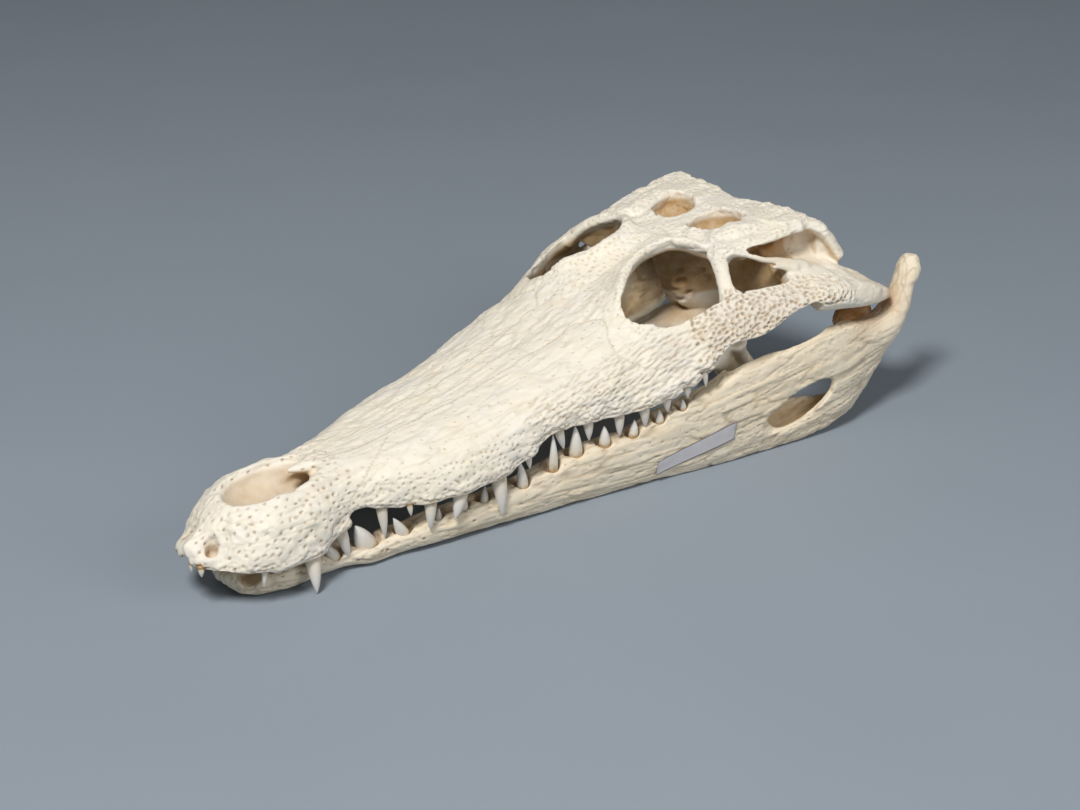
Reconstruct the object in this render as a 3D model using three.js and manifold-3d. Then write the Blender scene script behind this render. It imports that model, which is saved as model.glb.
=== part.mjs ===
// A crocodile skull: the cranium with its upper teeth, and the two halves of the lower jaw with theirs.
// Units are millimetres. -X is forward (the snout's tip), -Y is the animal's left, +Z is up.
// The lower jaw stands on the plane z = 0, and the origin is under the middle of the skull.
//
// Inside this file "station" is the distance behind the snout's tip. Paired parts are made once, on
// the side where y is positive, and mirrored.

import * as THREE from 'three';
import { mergeVertices } from 'three/addons/utils/BufferGeometryUtils.js';
import Module from 'manifold-3d';

const wasm = await Module();
wasm.setup();

// ---------- driving dimensions ----------

const OVERALL_LENGTH = 379;      // snout tip to the backs of the lower jaw's rear processes
const JOINT_GAP = 0.35;          // between the quadrate and the lower jaw that carries it
const JAW_MIDLINE_GAP = 0.3;     // the open suture between the two halves of the lower jaw
const BLEND_START = 190;         // from here the arch of the snout gives way to the eye sockets
const BLEND_END = 226;
const CRANIUM_BODY_END = 322;    // the rear wall of the braincase and the table
const PALATE_RISE = 3;           // the palate lies this far above the tooth row
const SOCKET_DEPTH = 2.5;        // how far a tooth's root reaches into the bone here
const TOOTH_SIDES = 6;
const SYMPHYSIS_END = 74;        // behind this the two halves of the lower jaw part
const JAW_THICKNESS = 12;

// ---------- profiles along the skull: [station, value] ----------

// A smooth curve through a few points that never swings past them.
function profile(points) {
  const count = points.length;
  const slopes = points.slice(1).map(([x, v], i) => (v - points[i][1]) / (x - points[i][0]));
  const tangents = points.map((point, i) => {
    if (i === 0 || i === count - 1) return slopes[Math.min(i, count - 2)];
    const [before, after] = [slopes[i - 1], slopes[i]];
    return before * after <= 0 ? 0 : (2 * before * after) / (before + after);
  });
  return (station) => {
    if (station <= points[0][0]) return points[0][1];
    if (station >= points[count - 1][0]) return points[count - 1][1];
    const i = points.findIndex(([x]) => x > station) - 1;
    const width = points[i + 1][0] - points[i][0];
    const t = (station - points[i][0]) / width;
    const rise = t * t * (3 - 2 * t);
    return points[i][1] * (1 - rise) + points[i + 1][1] * rise
      + width * (t * (1 - t) * (1 - t) * tangents[i] - t * t * (1 - t) * tangents[i + 1]);
  };
}

// Half the upper jaw's width at its lower edge: premaxilla, the notch for the lower fourth tooth,
// maxilla, then the jugal and the quadratojugal.
const edgeHalfWidth = profile([
  [0, 5], [3, 12], [9, 18.5], [18, 24], [30, 27.5], [45, 27.5], [57, 25], [68, 22.5], [79, 25],
  [93, 31], [108, 37], [126, 40.5], [144, 41], [162, 41.7], [180, 45], [202, 51], [219, 56],
  [238, 61.7], [255, 66], [279, 70.5], [303, 73.5], [322, 75],
]);
// That edge's height: wavy along the tooth row, then the lower edge of the cheek bar.
const edgeHeight = profile([
  [0, 25], [5, 23], [11, 21], [20, 19], [30, 17.4], [46, 17.4], [57, 19.5], [63, 22.5], [68, 28],
  [75, 28.5], [90, 25], [133, 27.5], [146, 30], [158, 36], [168, 39.8], [205, 40.5], [219, 42.5],
  [229, 46], [238, 51.5], [247, 59], [255, 63.2], [266, 62.8], [278, 66], [289, 70.5], [303, 72],
  [315, 70.8], [322, 69],
]);
const ridgeHeight = profile([
  [0, 28.5], [4, 31], [9, 33.5], [14, 38], [20, 42], [28, 44.8], [40, 46.2], [64, 46], [90, 47],
  [120, 50.5], [150, 56], [180, 63.5], [205, 71.5], [220, 77.5], [235, 83], [250, 88.5], [262, 93],
  [275, 96], [290, 97.5], [322, 98.5],
]);
// How square the arch of the snout is: 2 is an ellipse.
const snoutSquareness = profile([[0, 2], [12, 2.2], [36, 2.6], [70, 2.9], [205, 3]]);

// The roof's edge: the inner rim of the eye socket, then the side of the skull table.
const roofHalfWidth = profile([
  [205, 18], [219, 22], [227, 19.5], [235, 14.5], [241, 12.2], [247, 11.2], [254, 11.4], [263, 15],
  [270, 23.5], [278, 31.5], [286, 35.5], [300, 39.5], [310, 41.8], [322, 43.3],
]);
const roofEdgeHeight = profile([
  [205, 72], [215, 77], [222, 82], [227, 85.5], [235, 88], [247, 92.4], [258, 95.2], [265, 96.5],
  [273, 93.5], [280, 92], [288, 92], [301, 95.5], [310, 96.5], [322, 98.5],
]);
// How far the table swells up on either side of its middle.
const tableSwell = profile([[270, 0], [284, 3.5], [300, 4], [312, 3], [322, 0.5]]);
// The crest of the quadrate, under the ear opening.
const crestHalfWidth = profile([[205, 26], [250, 36], [272, 38], [283, 41.5], [300, 47.5], [322, 52.5]]);
const crestHeight = profile([
  [205, 70.5], [225, 79], [250, 85], [272, 89.5], [283, 89.5], [300, 84.5], [322, 79],
]);
// The outer rim of the eye socket and of the opening behind it: the top of the cheek bar.
const cheekHalfWidth = profile([
  [205, 34], [216, 38], [226, 42.5], [232, 46], [239, 48.5], [246, 50.5], [256, 52], [268, 53.2],
  [282, 57], [299, 59], [310, 62], [322, 67],
]);
const cheekHeight = profile([
  [205, 68.5], [216, 72.5], [226, 74.3], [232, 74.3], [239, 75.5], [246, 77], [256, 79.7], [267, 81.8],
  [282, 81.2], [299, 79.5], [310, 78], [322, 76],
]);

const SNOUT_STATIONS = [
  0, 1.5, 4, 8, 13, 20, 28, 38, 48, 56, 62, 66, 70, 74, 80, 88, 98, 110, 122, 136, 146, 154, 162, 170,
  180, 190,
];
const CRANIUM_STATIONS = [
  200, 208, 216, 224, 231, 238, 246, 254, 262, 269, 276, 282, 288, 295, 303, 312, CRANIUM_BODY_END,
];

// ---------- small helpers ----------

const point = (x, y, z) => new THREE.Vector3(x, y, z);
const degrees = THREE.MathUtils.degToRad;

// A closed solid through rings of equally many points, capped at both ends.
function loft(rings) {
  const perRing = rings[0].length;
  const positions = [];
  const faces = [];
  for (const p of rings.flat()) positions.push(p.x, p.y, p.z);
  for (let r = 0; r + 1 < rings.length; r += 1) {
    for (let i = 0; i < perRing; i += 1) {
      const a = r * perRing + i;
      const b = r * perRing + ((i + 1) % perRing);
      faces.push(a, b, b + perRing, a, b + perRing, a + perRing);
    }
  }
  for (const atEnd of [false, true]) {
    const start = atEnd ? (rings.length - 1) * perRing : 0;
    const centre = point(0, 0, 0);
    for (const p of rings.at(atEnd ? -1 : 0)) centre.addScaledVector(p, 1 / perRing);
    const middle = positions.length / 3;
    positions.push(centre.x, centre.y, centre.z);
    for (let i = 0; i < perRing; i += 1) {
      const next = start + ((i + 1) % perRing);
      faces.push(...(atEnd ? [middle, start + i, next] : [middle, next, start + i]));
    }
  }
  const geometry = new THREE.BufferGeometry();
  geometry.setAttribute('position', new THREE.Float32BufferAttribute(positions, 3));
  geometry.setIndex(faces);
  return geometry;
}

// Any closed geometry as a solid, its faces turned outwards.
function solid(geometry) {
  const bare = geometry.clone();
  for (const name of ['normal', 'uv']) bare.deleteAttribute(name);
  const merged = mergeVertices(bare, 1e-4);
  const vertProperties = new Float32Array(merged.attributes.position.array);
  const triVerts = new Uint32Array(merged.index.array);
  const corner = (i) => new THREE.Vector3().fromArray(vertProperties, 3 * triVerts[i]);
  let volume = 0;
  for (let i = 0; i < triVerts.length; i += 3) {
    volume += corner(i).dot(corner(i + 1).cross(corner(i + 2)));
  }
  if (volume < 0) {
    for (let i = 0; i < triVerts.length; i += 3) {
      [triVerts[i + 1], triVerts[i + 2]] = [triVerts[i + 2], triVerts[i + 1]];
    }
  }
  return new wasm.Manifold(new wasm.Mesh({ numProp: 3, vertProperties, triVerts }));
}

const join = (solids) => solids.reduce((all, one) => all.add(one));
const mirrored = (one) => one.mirror([0, 1, 0]);
const bothSides = (one) => one.add(mirrored(one));

// A rod whose section is an ellipse: each knot is [station, y, z, half width across, half width up].
// "across" lies square to the rod and to the up vector.
function rod(knots, { up = point(0, 0, 1), steps = 8, sides = 10, square = 1 } = {}) {
  const curve = new THREE.CatmullRomCurve3(knots.map(([x, y, z]) => point(x, y, z)), false, 'centripetal');
  const rings = [];
  for (let s = 0; s <= steps; s += 1) {
    const t = s / steps;
    const place = curve.getPoint(t);
    const along = curve.getTangent(t);
    const across = new THREE.Vector3().crossVectors(along, up).normalize();
    const upward = new THREE.Vector3().crossVectors(across, along).normalize();
    const at = t * (knots.length - 1);
    const i = Math.min(Math.floor(at), knots.length - 2);
    const size = (k) => THREE.MathUtils.lerp(knots[i][k], knots[i + 1][k], at - i);
    rings.push(Array.from({ length: sides }, (unused, k) => {
      const angle = (2 * Math.PI * (k + 0.5)) / sides;
      const bulge = (v) => Math.sign(v) * Math.abs(v) ** square;
      return place.clone()
        .addScaledVector(across, size(3) * bulge(Math.cos(angle)))
        .addScaledVector(upward, size(4) * bulge(Math.sin(angle)));
    }));
  }
  return solid(loft(rings));
}

// An egg-shaped post to cut openings with, standing from low to high. Its radii are the one to the
// front, the one to the rear and the one across.
function eggPost({ centre, radii: [front, rear, across], low, high, turn = 0, sides = 18, spread = 1 }) {
  const outline = (z, grow) => Array.from({ length: sides }, (unused, k) => {
    const angle = (2 * Math.PI * k) / sides;
    const along = Math.cos(angle) * (Math.cos(angle) < 0 ? front : rear) * grow;
    const aside = Math.sin(angle) * across * grow;
    const turned = degrees(turn);
    return point(
      centre[0] + along * Math.cos(turned) - aside * Math.sin(turned),
      centre[1] + along * Math.sin(turned) + aside * Math.cos(turned),
      z,
    );
  });
  return solid(loft([outline(low, spread), outline(high, 1)]));
}

// ---------- teeth ----------

// A pointed crown that stands on its root and leans outwards by a few degrees.
function tooth({ station, side, root, length, width, out, upper }) {
  const shape = [[0, 0], [0.46, 0], [0.44, 0.5], [0, 1]];
  const lathe = new THREE.LatheGeometry(
    shape.map(([r, h]) => new THREE.Vector2(r * width, h * length)), TOOTH_SIDES,
  );
  lathe.rotateX(Math.PI / 2);
  lathe.rotateX(degrees(upper ? out : -out));
  if (upper) lathe.rotateX(Math.PI);
  lathe.translate(station, side, root);
  return solid(lathe);
}

// [station, crown length, base width, shift outwards] of each tooth, front to back. A tooth that is
// shifted outwards also leans outwards.
const PREMAXILLARY_TEETH = [
  [2.5, 6.5, 3], [10, 7, 3.2], [26, 10, 4.6], [43.5, 16, 7, 1.5], [60.5, 12.5, 4.8, 1.5],
];
const MAXILLARY_TEETH = [
  [80.5, 12, 5], [92, 4.5, 3.2], [101.5, 13, 5.8], [115, 13, 6.4], [134.5, 18, 8, 2.4], [150.5, 6.5, 4.6],
  [168.8, 9, 4.6], [182, 9, 5], [196.5, 9.5, 5.2], [208.5, 8.5, 4.8], [219.3, 7, 4.4], [229.7, 6.5, 4],
  [238.5, 6.5, 3.8],
];
const DENTARY_TEETH = [
  [22, 5.4, 4.4], [34, 3.8, 4], [47, 3.8, 4.2], [75.8, 15, 8.4], [92, 10.5, 5.2], [106.3, 8, 4.6],
  [119.5, 8.5, 4.8], [131.5, 8, 4.8], [150, 13, 6], [165, 15, 6, -0.8], [178, 12, 6], [192, 10, 5.4],
  [206.5, 9, 4.8], [219, 7, 4.2], [230.5, 6, 3.8],
];

// The teeth of one jaw: each stands near the jaw's edge, half its width in from it.
function row(teeth, { edge, height, margin, upper, spare = 0 }) {
  return join(teeth.map(([station, length, width, out = 0]) => tooth({
    station,
    side: Math.max(edge(station) - 0.6 * width - margin, 2.2) + out,
    root: height(station) + (upper ? SOCKET_DEPTH : -SOCKET_DEPTH),
    length: length + SOCKET_DEPTH + spare,
    width: width + 2 * spare,
    out: 3 * out,
    upper,
  })));
}

const upperTeeth = (spare) => row([...PREMAXILLARY_TEETH, ...MAXILLARY_TEETH], {
  edge: edgeHalfWidth, height: edgeHeight, margin: 1.2, upper: true, spare,
});

// ---------- cranium ----------

// A ring across the skull from the points of one side, listed from the middle of the top round to the
// middle of the bottom as [y, z].
function ring(station, side) {
  const near = side.map(([y, z]) => point(station, y, z));
  const far = near.slice(1, -1).reverse().map((p) => point(p.x, -p.y, p.z));
  return [...near, ...far];
}

function snoutRing(station) {
  const half = edgeHalfWidth(station);
  const low = edgeHeight(station);
  const rise = ridgeHeight(station) - low;
  const power = 2 / snoutSquareness(station);
  const arch = Array.from({ length: 8 }, (unused, i) => {
    const angle = (Math.PI / 2) * (1 - i / 7);
    return [half * Math.cos(angle) ** power, low + rise * Math.sin(angle) ** power];
  });
  arch[0][0] = 0;
  const inner = Math.max(half - 8, half * 0.5);
  const palate = low + PALATE_RISE;
  return ring(station, [...arch, [inner, low], [inner * 0.7, palate], [0, palate]]);
}

function socketRing(station) {
  const roof = [roofHalfWidth(station), roofEdgeHeight(station)];
  const crest = [crestHalfWidth(station), crestHeight(station)];
  const cheek = [cheekHalfWidth(station), cheekHeight(station)];
  const edge = [edgeHalfWidth(station), edgeHeight(station)];
  const floor = Math.min(edge[1] + PALATE_RISE, 58);
  const between = (from, to, share) => from.map((v, i) => v + (to[i] - v) * share);
  const [middleY, middleZ] = between([0, ridgeHeight(station)], roof, 0.54);
  const [sideY, sideZ] = between(cheek, edge, 0.55);
  return ring(station, [
    [0, ridgeHeight(station)], [middleY, middleZ + tableSwell(station)], roof,
    between(roof, crest, 0.55), crest, cheek, [sideY + 2.2, sideZ + 1], edge,
    [edge[0] - 7, edge[1]], [edge[0] * 0.6, floor], [0, floor],
  ]);
}

// Behind the snout its arch turns gradually into the form around the eye sockets.
function rearRing(station) {
  const change = THREE.MathUtils.smoothstep(station, BLEND_START, BLEND_END);
  const front = snoutRing(station);
  return socketRing(station).map((p, i) => front[i].lerp(p, change));
}

const outerForm = () => solid(loft([...SNOUT_STATIONS.map(snoutRing), ...CRANIUM_STATIONS.map(rearRing)]));

// The chambers behind the snout, open below: everything inside the roof and the cheeks.
function chambers() {
  const roofThickness = 6;
  const stations = [214, 222, 232, 244, 256, 268, 280, 292, 304, 314];
  return solid(loft(stations.map((station, i) => {
    const closing = i === 0 || i === stations.length - 1 ? 0.86 : 1;
    const roof = roofEdgeHeight(station) - roofThickness;
    const inner = (cheekHalfWidth(station) - 4.5) * closing;
    const low = (edgeHalfWidth(station) - 6.5) * closing;
    return ring(station, [
      [0, ridgeHeight(station) - roofThickness], [roofHalfWidth(station) * 0.9, roof - 1],
      [crestHalfWidth(station) - 4, crestHeight(station) - 7],
      [inner, cheekHeight(station) - 5], [low, edgeHeight(station) - 1], [low, 10], [0, 10],
    ]);
  })));
}

// The eye sockets, the fenestrae through the table and behind the eyes, and the ear recesses.
function upperOpenings() {
  const orbit = eggPost({ centre: [252, 31.4], radii: [31, 23, 20], low: 50, high: 120, turn: 2, sides: 24 });
  const tableFenestra = eggPost({
    centre: [295, 14], radii: [12.5, 12.5, 8.6], low: 70, high: 120, turn: 12, sides: 14,
  });
  const cheekFenestra = eggPost({
    centre: [280, 50.5], radii: [9, 21, 5.2], low: 60, high: 120, turn: 12, sides: 14,
  });
  const earRecess = rod([
    [286, 43.5, 91.5, 3, 1], [296, 46, 90.5, 9, 3], [312, 49, 88.5, 12, 4], [327, 53, 87.5, 13, 4.2],
    [339, 60, 88, 12, 5],
  ], { steps: 6, sides: 8 });
  return join([orbit, tableFenestra, cheekFenestra, earRecess].map(bothSides));
}

// The long holes in the palate under the eyes, and the pair at the tip for the lower front teeth.
function palateOpenings() {
  const underEye = eggPost({
    centre: [212, 25], radii: [34, 40, 13.5], low: 0, high: 57, turn: 10, sides: 16,
  });
  const frontHole = eggPost({
    centre: [8.5, 7.4], radii: [2.4, 2.4, 3], low: 0, high: 60, turn: 40, sides: 8,
  });
  return join([underEye, frontHole].map(bothSides));
}

// The single opening of the nostrils, with the points of the nasal bones reaching into its rear edge.
const nostril = () => eggPost({
  centre: [41, 0], radii: [20.5, 21, 13.5], low: 29, high: 60, sides: 22, spread: 0.75,
});
const nasalSpine = () => rod([[70, 0, 43.5, 6, 3], [60, 0, 44, 3.2, 2.2], [53.5, 0, 44.5, 0.8, 0.8]], {
  steps: 4, sides: 6,
});

// The braincase under the table, with the knob the neck turned on.
function braincase() {
  const halfWidth = profile([[258, 4], [270, 9], [290, 13], [310, 20], [326, 24]]);
  const floorHeight = profile([[258, 80], [266, 68], [280, 55], [305, 51], [326, 57]]);
  const body = solid(loft([258, 265, 273, 286, 298, 312, 326].map((station) => {
    const half = halfWidth(station);
    const low = floorHeight(station);
    const high = ridgeHeight(station) - 3;
    return ring(station, [
      [0, high], [half, high], [half * 0.9, low * 0.5 + high * 0.5], [half * 0.6, low], [0, low],
    ]);
  })));
  const condyle = solid(new THREE.SphereGeometry(6, 12, 8).scale(1.1, 1, 0.9).translate(328, 0, 71));
  return body.add(condyle);
}

// The quadrate: from the braincase out, back and down to the jaw joint. Each ring starts at its inner
// lower corner and goes round under the joint, up the outside and in over the crest.
const quadrate = () => solid(loft([
  [298, [[12, 56], [20, 60], [32, 70], [45, 83.5], [38, 87], [14, 88]]],
  [311, [[18, 55], [34, 60], [54, 68], [61, 76], [49.5, 81.5], [24, 88]]],
  [323, [[28, 55], [50, 59.5], [73, 67], [68, 75], [53, 78.5], [38, 86]]],
  [334, [[39, 54.5], [60, 58], [75, 63], [71, 72], [54, 76.5], [45, 79]]],
  [345, [[46, 53], [65, 56.5], [75, 60.5], [73, 67.5], [57, 72], [49, 70]]],
  [352.5, [[50, 54], [65, 57], [74.3, 60], [73, 64.5], [59, 66.5], [51, 62]]],
  [356, [[53, 57], [64, 58.5], [72.5, 60.5], [71.5, 63], [61, 64], [54, 60.5]]],
].map(([station, corners]) => corners.map(([y, z]) => point(station, y, z)))));

// The rear corner of the table, hooked down to the quadrate.
const squamosal = () => rod([
  [308, 37, 92, 6, 5.5], [322, 40.5, 94, 6, 5.2], [331, 43.5, 90.5, 6, 6], [338, 46.5, 83, 6, 6.5],
  [343, 49.5, 75, 4.5, 5],
], { steps: 6, sides: 8 });

// The rear wall, from the braincase out to the hooks.
const rearWall = () => rod([
  [319, 2, 81, 5, 16], [320, 20, 81, 5, 16], [326, 34, 83, 4.5, 11], [334, 44, 80, 4, 8],
  [340, 50, 75, 3.5, 5],
], { steps: 6, sides: 8, square: 0.7 });

// The tube along the middle of the palate, from the snout back to the pterygoids.
const palatines = () => rod([
  [190, 0, 44.5, 10, 4], [225, 0, 45.5, 7.5, 4], [256, 0, 46, 8, 4], [284, 0, 48, 15, 6],
], { steps: 5, sides: 8 });

// The pterygoid wing: a plate that spreads sideways and down from under the braincase.
const pterygoidWing = () => rod([
  [290, -4, 50, 21, 5], [290, 12, 47, 19, 4], [286, 26, 42, 17, 3], [281, 38, 36, 14, 3],
  [276, 46.5, 33, 8, 3.2],
], { steps: 6, sides: 8, up: point(0.25, 0, 1) });

// The strut from the wing up to the cheek.
const ectopterygoid = () => rod([
  [280, 45, 32, 4, 3], [270.5, 47.5, 40, 4.5, 3], [259, 52.5, 50, 6, 3], [247, 58, 57, 9, 4],
], { steps: 5, sides: 8, up: point(0, 1, 0) });

// The hole for the spinal cord, above the knob.
const cordHole = () => solid(
  new THREE.CylinderGeometry(5.5, 5, 16, 12).rotateZ(-Math.PI / 2).scale(1, 1.1, 0.85).translate(324, 0, 82),
);

function cranium() {
  const shell = outerForm().subtract(chambers()).subtract(palateOpenings()).subtract(nostril());
  const rear = bothSides(quadrate().add(squamosal()).add(rearWall()));
  const body = join([shell, rear, braincase()]).subtract(upperOpenings());
  const below = join([palatines(), bothSides(pterygoidWing()), bothSides(ectopterygoid())]);
  const innerNostril = eggPost({ centre: [303, 0], radii: [6, 6, 7], low: 20, high: 53, sides: 10 });
  return join([body, nasalSpine(), below, bothSides(upperTeeth())])
    .subtract(innerNostril)
    .subtract(cordHole());
}

// ---------- lower jaw ----------

const jawOuter = profile([
  [16, 4], [19, 10], [26, 15.5], [40, 20], [56, 20.5], [65, 21.5], [76, 25.5], [87, 26.5], [99, 30],
  [123, 35], [148, 39.5], [172, 44], [199, 50], [227, 56], [251, 62.3], [275, 67.5], [299, 72.3],
  [326, 76], [350, 75],
]);
const jawTop = profile([
  [16, 9.5], [20, 12], [30, 12.5], [50, 12], [64, 10.5], [77, 9.5], [93, 11.5], [108, 14.5], [135, 16.5],
  [151, 18.5], [166, 22], [178, 26], [205, 27.5], [219, 31.5], [230, 35], [249, 40], [270, 47.5],
  [294, 50.5], [327, 54.5], [352, 53],
]);
const jawBottom = profile([
  [16, 6], [22, 1.5], [30, -0.6], [60, -0.6], [100, 0.8], [150, 0.8], [200, 0.2], [240, -0.6], [290, -0.6],
  [312, 2], [328, 6.5], [340, 13], [352, 26],
]);
const JAW_STATIONS = [
  16, 18, 22, 27, 34, 45, 58, 67, 76, 87, 99, 115, 130, 145, 160, 175, 190, 205, 220, 235, 250, 265, 280,
  295, 310, 323, 334, 344, 352,
];
// The section of one half of the lower jaw, from its inner upper corner over the top and down outside.
function jawRing(station) {
  const outer = jawOuter(station);
  const top = jawTop(station);
  const bottom = jawBottom(station);
  const innerEdge = station < SYMPHYSIS_END ? 0 : Math.max(outer - JAW_THICKNESS, 0);
  const width = outer - innerEdge;
  const height = top - bottom;
  return [
    [innerEdge, top - height * 0.06], [innerEdge + width * 0.35, top], [outer - width * 0.16, top],
    [outer, top - height * 0.2], [outer + 0.3, bottom + height * 0.5],
    [outer - width * 0.08, bottom + height * 0.18],
    [outer - width * 0.3, bottom], [innerEdge + width * 0.35, bottom], [innerEdge, bottom + height * 0.25],
  ].map(([y, z]) => point(station, y, z));
}

function jawHalf() {
  const body = solid(loft(JAW_STATIONS.map(jawRing)));
  const rearProcess = rod([
    [336, 70, 41, 9, 12], [350, 70, 42, 10, 10], [362, 69, 49, 8, 7], [370, 68, 60, 6, 5.5],
    [374.6, 67.5, 69.5, 6, 5], [375.6, 67, 75, 3.5, 3],
  ], { steps: 8, sides: 8, up: point(-1, 0, 0.3) });
  return body.add(rearProcess);
}

function jawOpenings() {
  // The hollow behind the teeth for the jaw muscles, open above and, further back, to the inside.
  const hollow = rod([
    [252, 56.5, 32, 2.5, 5], [272, 61.5, 36, 4, 22], [306, 66.5, 38, 4.4, 26], [334, 70, 42, 3.5, 20],
  ], { steps: 6, sides: 8, square: 0.6 });
  const innerDoor = rod([[303, 40, 37, 22, 12], [303, 66, 37, 22, 12]], {
    steps: 1, sides: 12, up: point(-0.2, 0, 1),
  });
  const outerWindow = rod([[295, 66, 20.5, 21, 8], [295, 90, 20.5, 21, 8]], {
    steps: 1, sides: 14, up: point(-0.38, 0, 1),
  });
  return join([hollow, innerDoor, outerWindow]);
}

const lowerTeeth = () => row(DENTARY_TEETH, { edge: jawOuter, height: jawTop, margin: 1.6, upper: false });

// The bone that must stay clear of the cranium: the quadrate resting in the jaw joint.
function jointClearance() {
  const bearing = quadrate();
  const shifts = [[0, 0, -1], [0, 0, 1], [1, 0, 0], [1, 0, -1], [0, -1, 0], [0, 1, 0]];
  return join(shifts.map((shift) => bearing.translate(shift.map((v) => v * JOINT_GAP))));
}

const lowerJawSide = () => jawHalf()
  .subtract(jawOpenings())
  .subtract(jointClearance())
  .subtract(upperTeeth(JOINT_GAP))
  .add(lowerTeeth())
  .trimByPlane([0, 0, 1], 0)
  .trimByPlane([0, 1, 0], JAW_MIDLINE_GAP / 2);

// ---------- label ----------

const LABEL = { start: 217.5, end: 258.5, low: [5, 13], high: [12.6, 22.4], thickness: 0.35, gap: 0.5 };

// How far out the side of the lower jaw lies at a given height, where the label is stuck.
function jawSide(station, z) {
  const face = jawRing(station).slice(3, 6);
  const i = z > face[1].z ? 0 : 1;
  const share = (z - face[i].z) / (face[i + 1].z - face[i].z);
  return THREE.MathUtils.lerp(face[i].y, face[i + 1].y, share);
}

// A blank strip that follows the side of the left half of the lower jaw.
function label() {
  const rings = JAW_STATIONS.filter((at) => at > LABEL.start && at < LABEL.end);
  return solid(loft([LABEL.start, ...rings, LABEL.end].map((station) => {
    const share = (station - LABEL.start) / (LABEL.end - LABEL.start);
    const low = THREE.MathUtils.lerp(...LABEL.low, share);
    const high = THREE.MathUtils.lerp(...LABEL.high, share);
    const heights = [low, (low + high) / 2, high];
    const face = (out) => heights.map((z) => point(station, jawSide(station, z) + out, z));
    return [...face(LABEL.gap), ...face(LABEL.gap + LABEL.thickness).reverse()];
  })));
}

// ---------- the finished pieces ----------

const BONE = { color: 0xe9e0cc, roughness: 0.75, metalness: 0 };
const PAPER = { color: 0xf1f1ee, roughness: 0.6, metalness: 0 };
const MERGE_TOLERANCE = 0.12;    // flat neighbours closer than this become one face

function mesh(name, piece, look) {
  const { vertProperties, triVerts } = piece.simplify(MERGE_TOLERANCE).getMesh();
  const geometry = new THREE.BufferGeometry();
  geometry.setAttribute('position', new THREE.Float32BufferAttribute(vertProperties, 3));
  geometry.setIndex([...triVerts]);
  const made = new THREE.Mesh(geometry, new THREE.MeshStandardMaterial(look));
  made.name = name;
  return made;
}

const rightJaw = lowerJawSide();
const skull = new THREE.Group();
skull.position.x = -OVERALL_LENGTH / 2;
skull.add(
  mesh('cranium', cranium(), BONE),
  mesh('lower_jaw_right', rightJaw, BONE),
  mesh('lower_jaw_left', mirrored(rightJaw), BONE),
  mesh('label', mirrored(label()), PAPER),
);

export default skull;
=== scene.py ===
"""Looks of the crocodile skull: the bones as fine surfaces, their teeth, the blank label and the studio.

Lengths are millimetres until a mesh is made. "Station" is the distance behind the snout's tip; y is
positive on the animal's right, and paired forms are made there and mirrored.
"""

import math

import bpy
import numpy as np
import openvdb
from mathutils import Matrix, Vector
from mathutils.kdtree import KDTree


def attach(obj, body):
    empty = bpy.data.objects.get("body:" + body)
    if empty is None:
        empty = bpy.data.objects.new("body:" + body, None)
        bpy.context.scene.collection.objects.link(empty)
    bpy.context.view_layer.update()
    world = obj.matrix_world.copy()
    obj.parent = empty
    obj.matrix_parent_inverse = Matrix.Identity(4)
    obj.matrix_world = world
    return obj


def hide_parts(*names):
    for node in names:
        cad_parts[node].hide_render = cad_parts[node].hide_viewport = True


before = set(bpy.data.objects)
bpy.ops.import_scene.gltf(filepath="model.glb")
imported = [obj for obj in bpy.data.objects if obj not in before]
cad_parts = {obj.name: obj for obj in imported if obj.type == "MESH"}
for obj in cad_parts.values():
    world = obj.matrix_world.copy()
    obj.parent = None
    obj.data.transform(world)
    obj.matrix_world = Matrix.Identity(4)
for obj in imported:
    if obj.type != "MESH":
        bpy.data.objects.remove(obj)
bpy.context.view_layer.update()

OVERALL_LENGTH = 379.0
# every mesh stays inside this box, a little smaller than the CAD part's
BOX_LOW, BOX_HIGH = (0.05, -78.95, 0.02), (378.95, 78.95, 100.65)
VOXEL = 0.6
BAND = 5.0  # distances are known up to this far from a surface
MARGIN = 4  # a form changes the field this far outside its own box
FAR = 50  # stands for any greater distance
PATH_STEP = 1.5
F = np.float32

# ---------------------------------------------------------------- curves and tables


def rise(value, low, high):
    """A smooth step, from 0 at low to 1 at high."""
    t = np.clip((value - low) / (high - low), 0, 1)
    return t * t * (3 - 2 * t)


def catmull_rom(before, start, end, after, t):
    """A point between start and end, on a smooth curve through all four."""
    return 0.5 * ((2 * start) + (end - before) * t + (2 * before - 5 * start + 4 * end - after) * t**2
                  + (3 * start - before - 3 * end + after) * t**3)


def profile(points):
    """A smooth curve through a few [station, value] points that never swings past them."""
    x, v = np.array(points, float).T
    slope = np.diff(v) / np.diff(x)
    tangent = np.empty_like(v)
    tangent[0], tangent[-1] = slope[0], slope[-1]
    before, after = slope[:-1], slope[1:]
    product = before * after
    total = np.where(product > 0, before + after, 1)
    tangent[1:-1] = np.where(product > 0, 2 * product / total, 0)

    def at(station):
        s = np.clip(np.asarray(station, float), x[0], x[-1])
        i = np.clip(np.searchsorted(x, s, side="right") - 1, 0, len(x) - 2)
        width = x[i + 1] - x[i]
        t = (s - x[i]) / width
        ease = rise(t, 0, 1)
        bend = width * (t * (1 - t) ** 2 * tangent[i] - t * t * (1 - t) * tangent[i + 1])
        return v[i] * (1 - ease) + v[i + 1] * ease + bend

    return at


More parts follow.
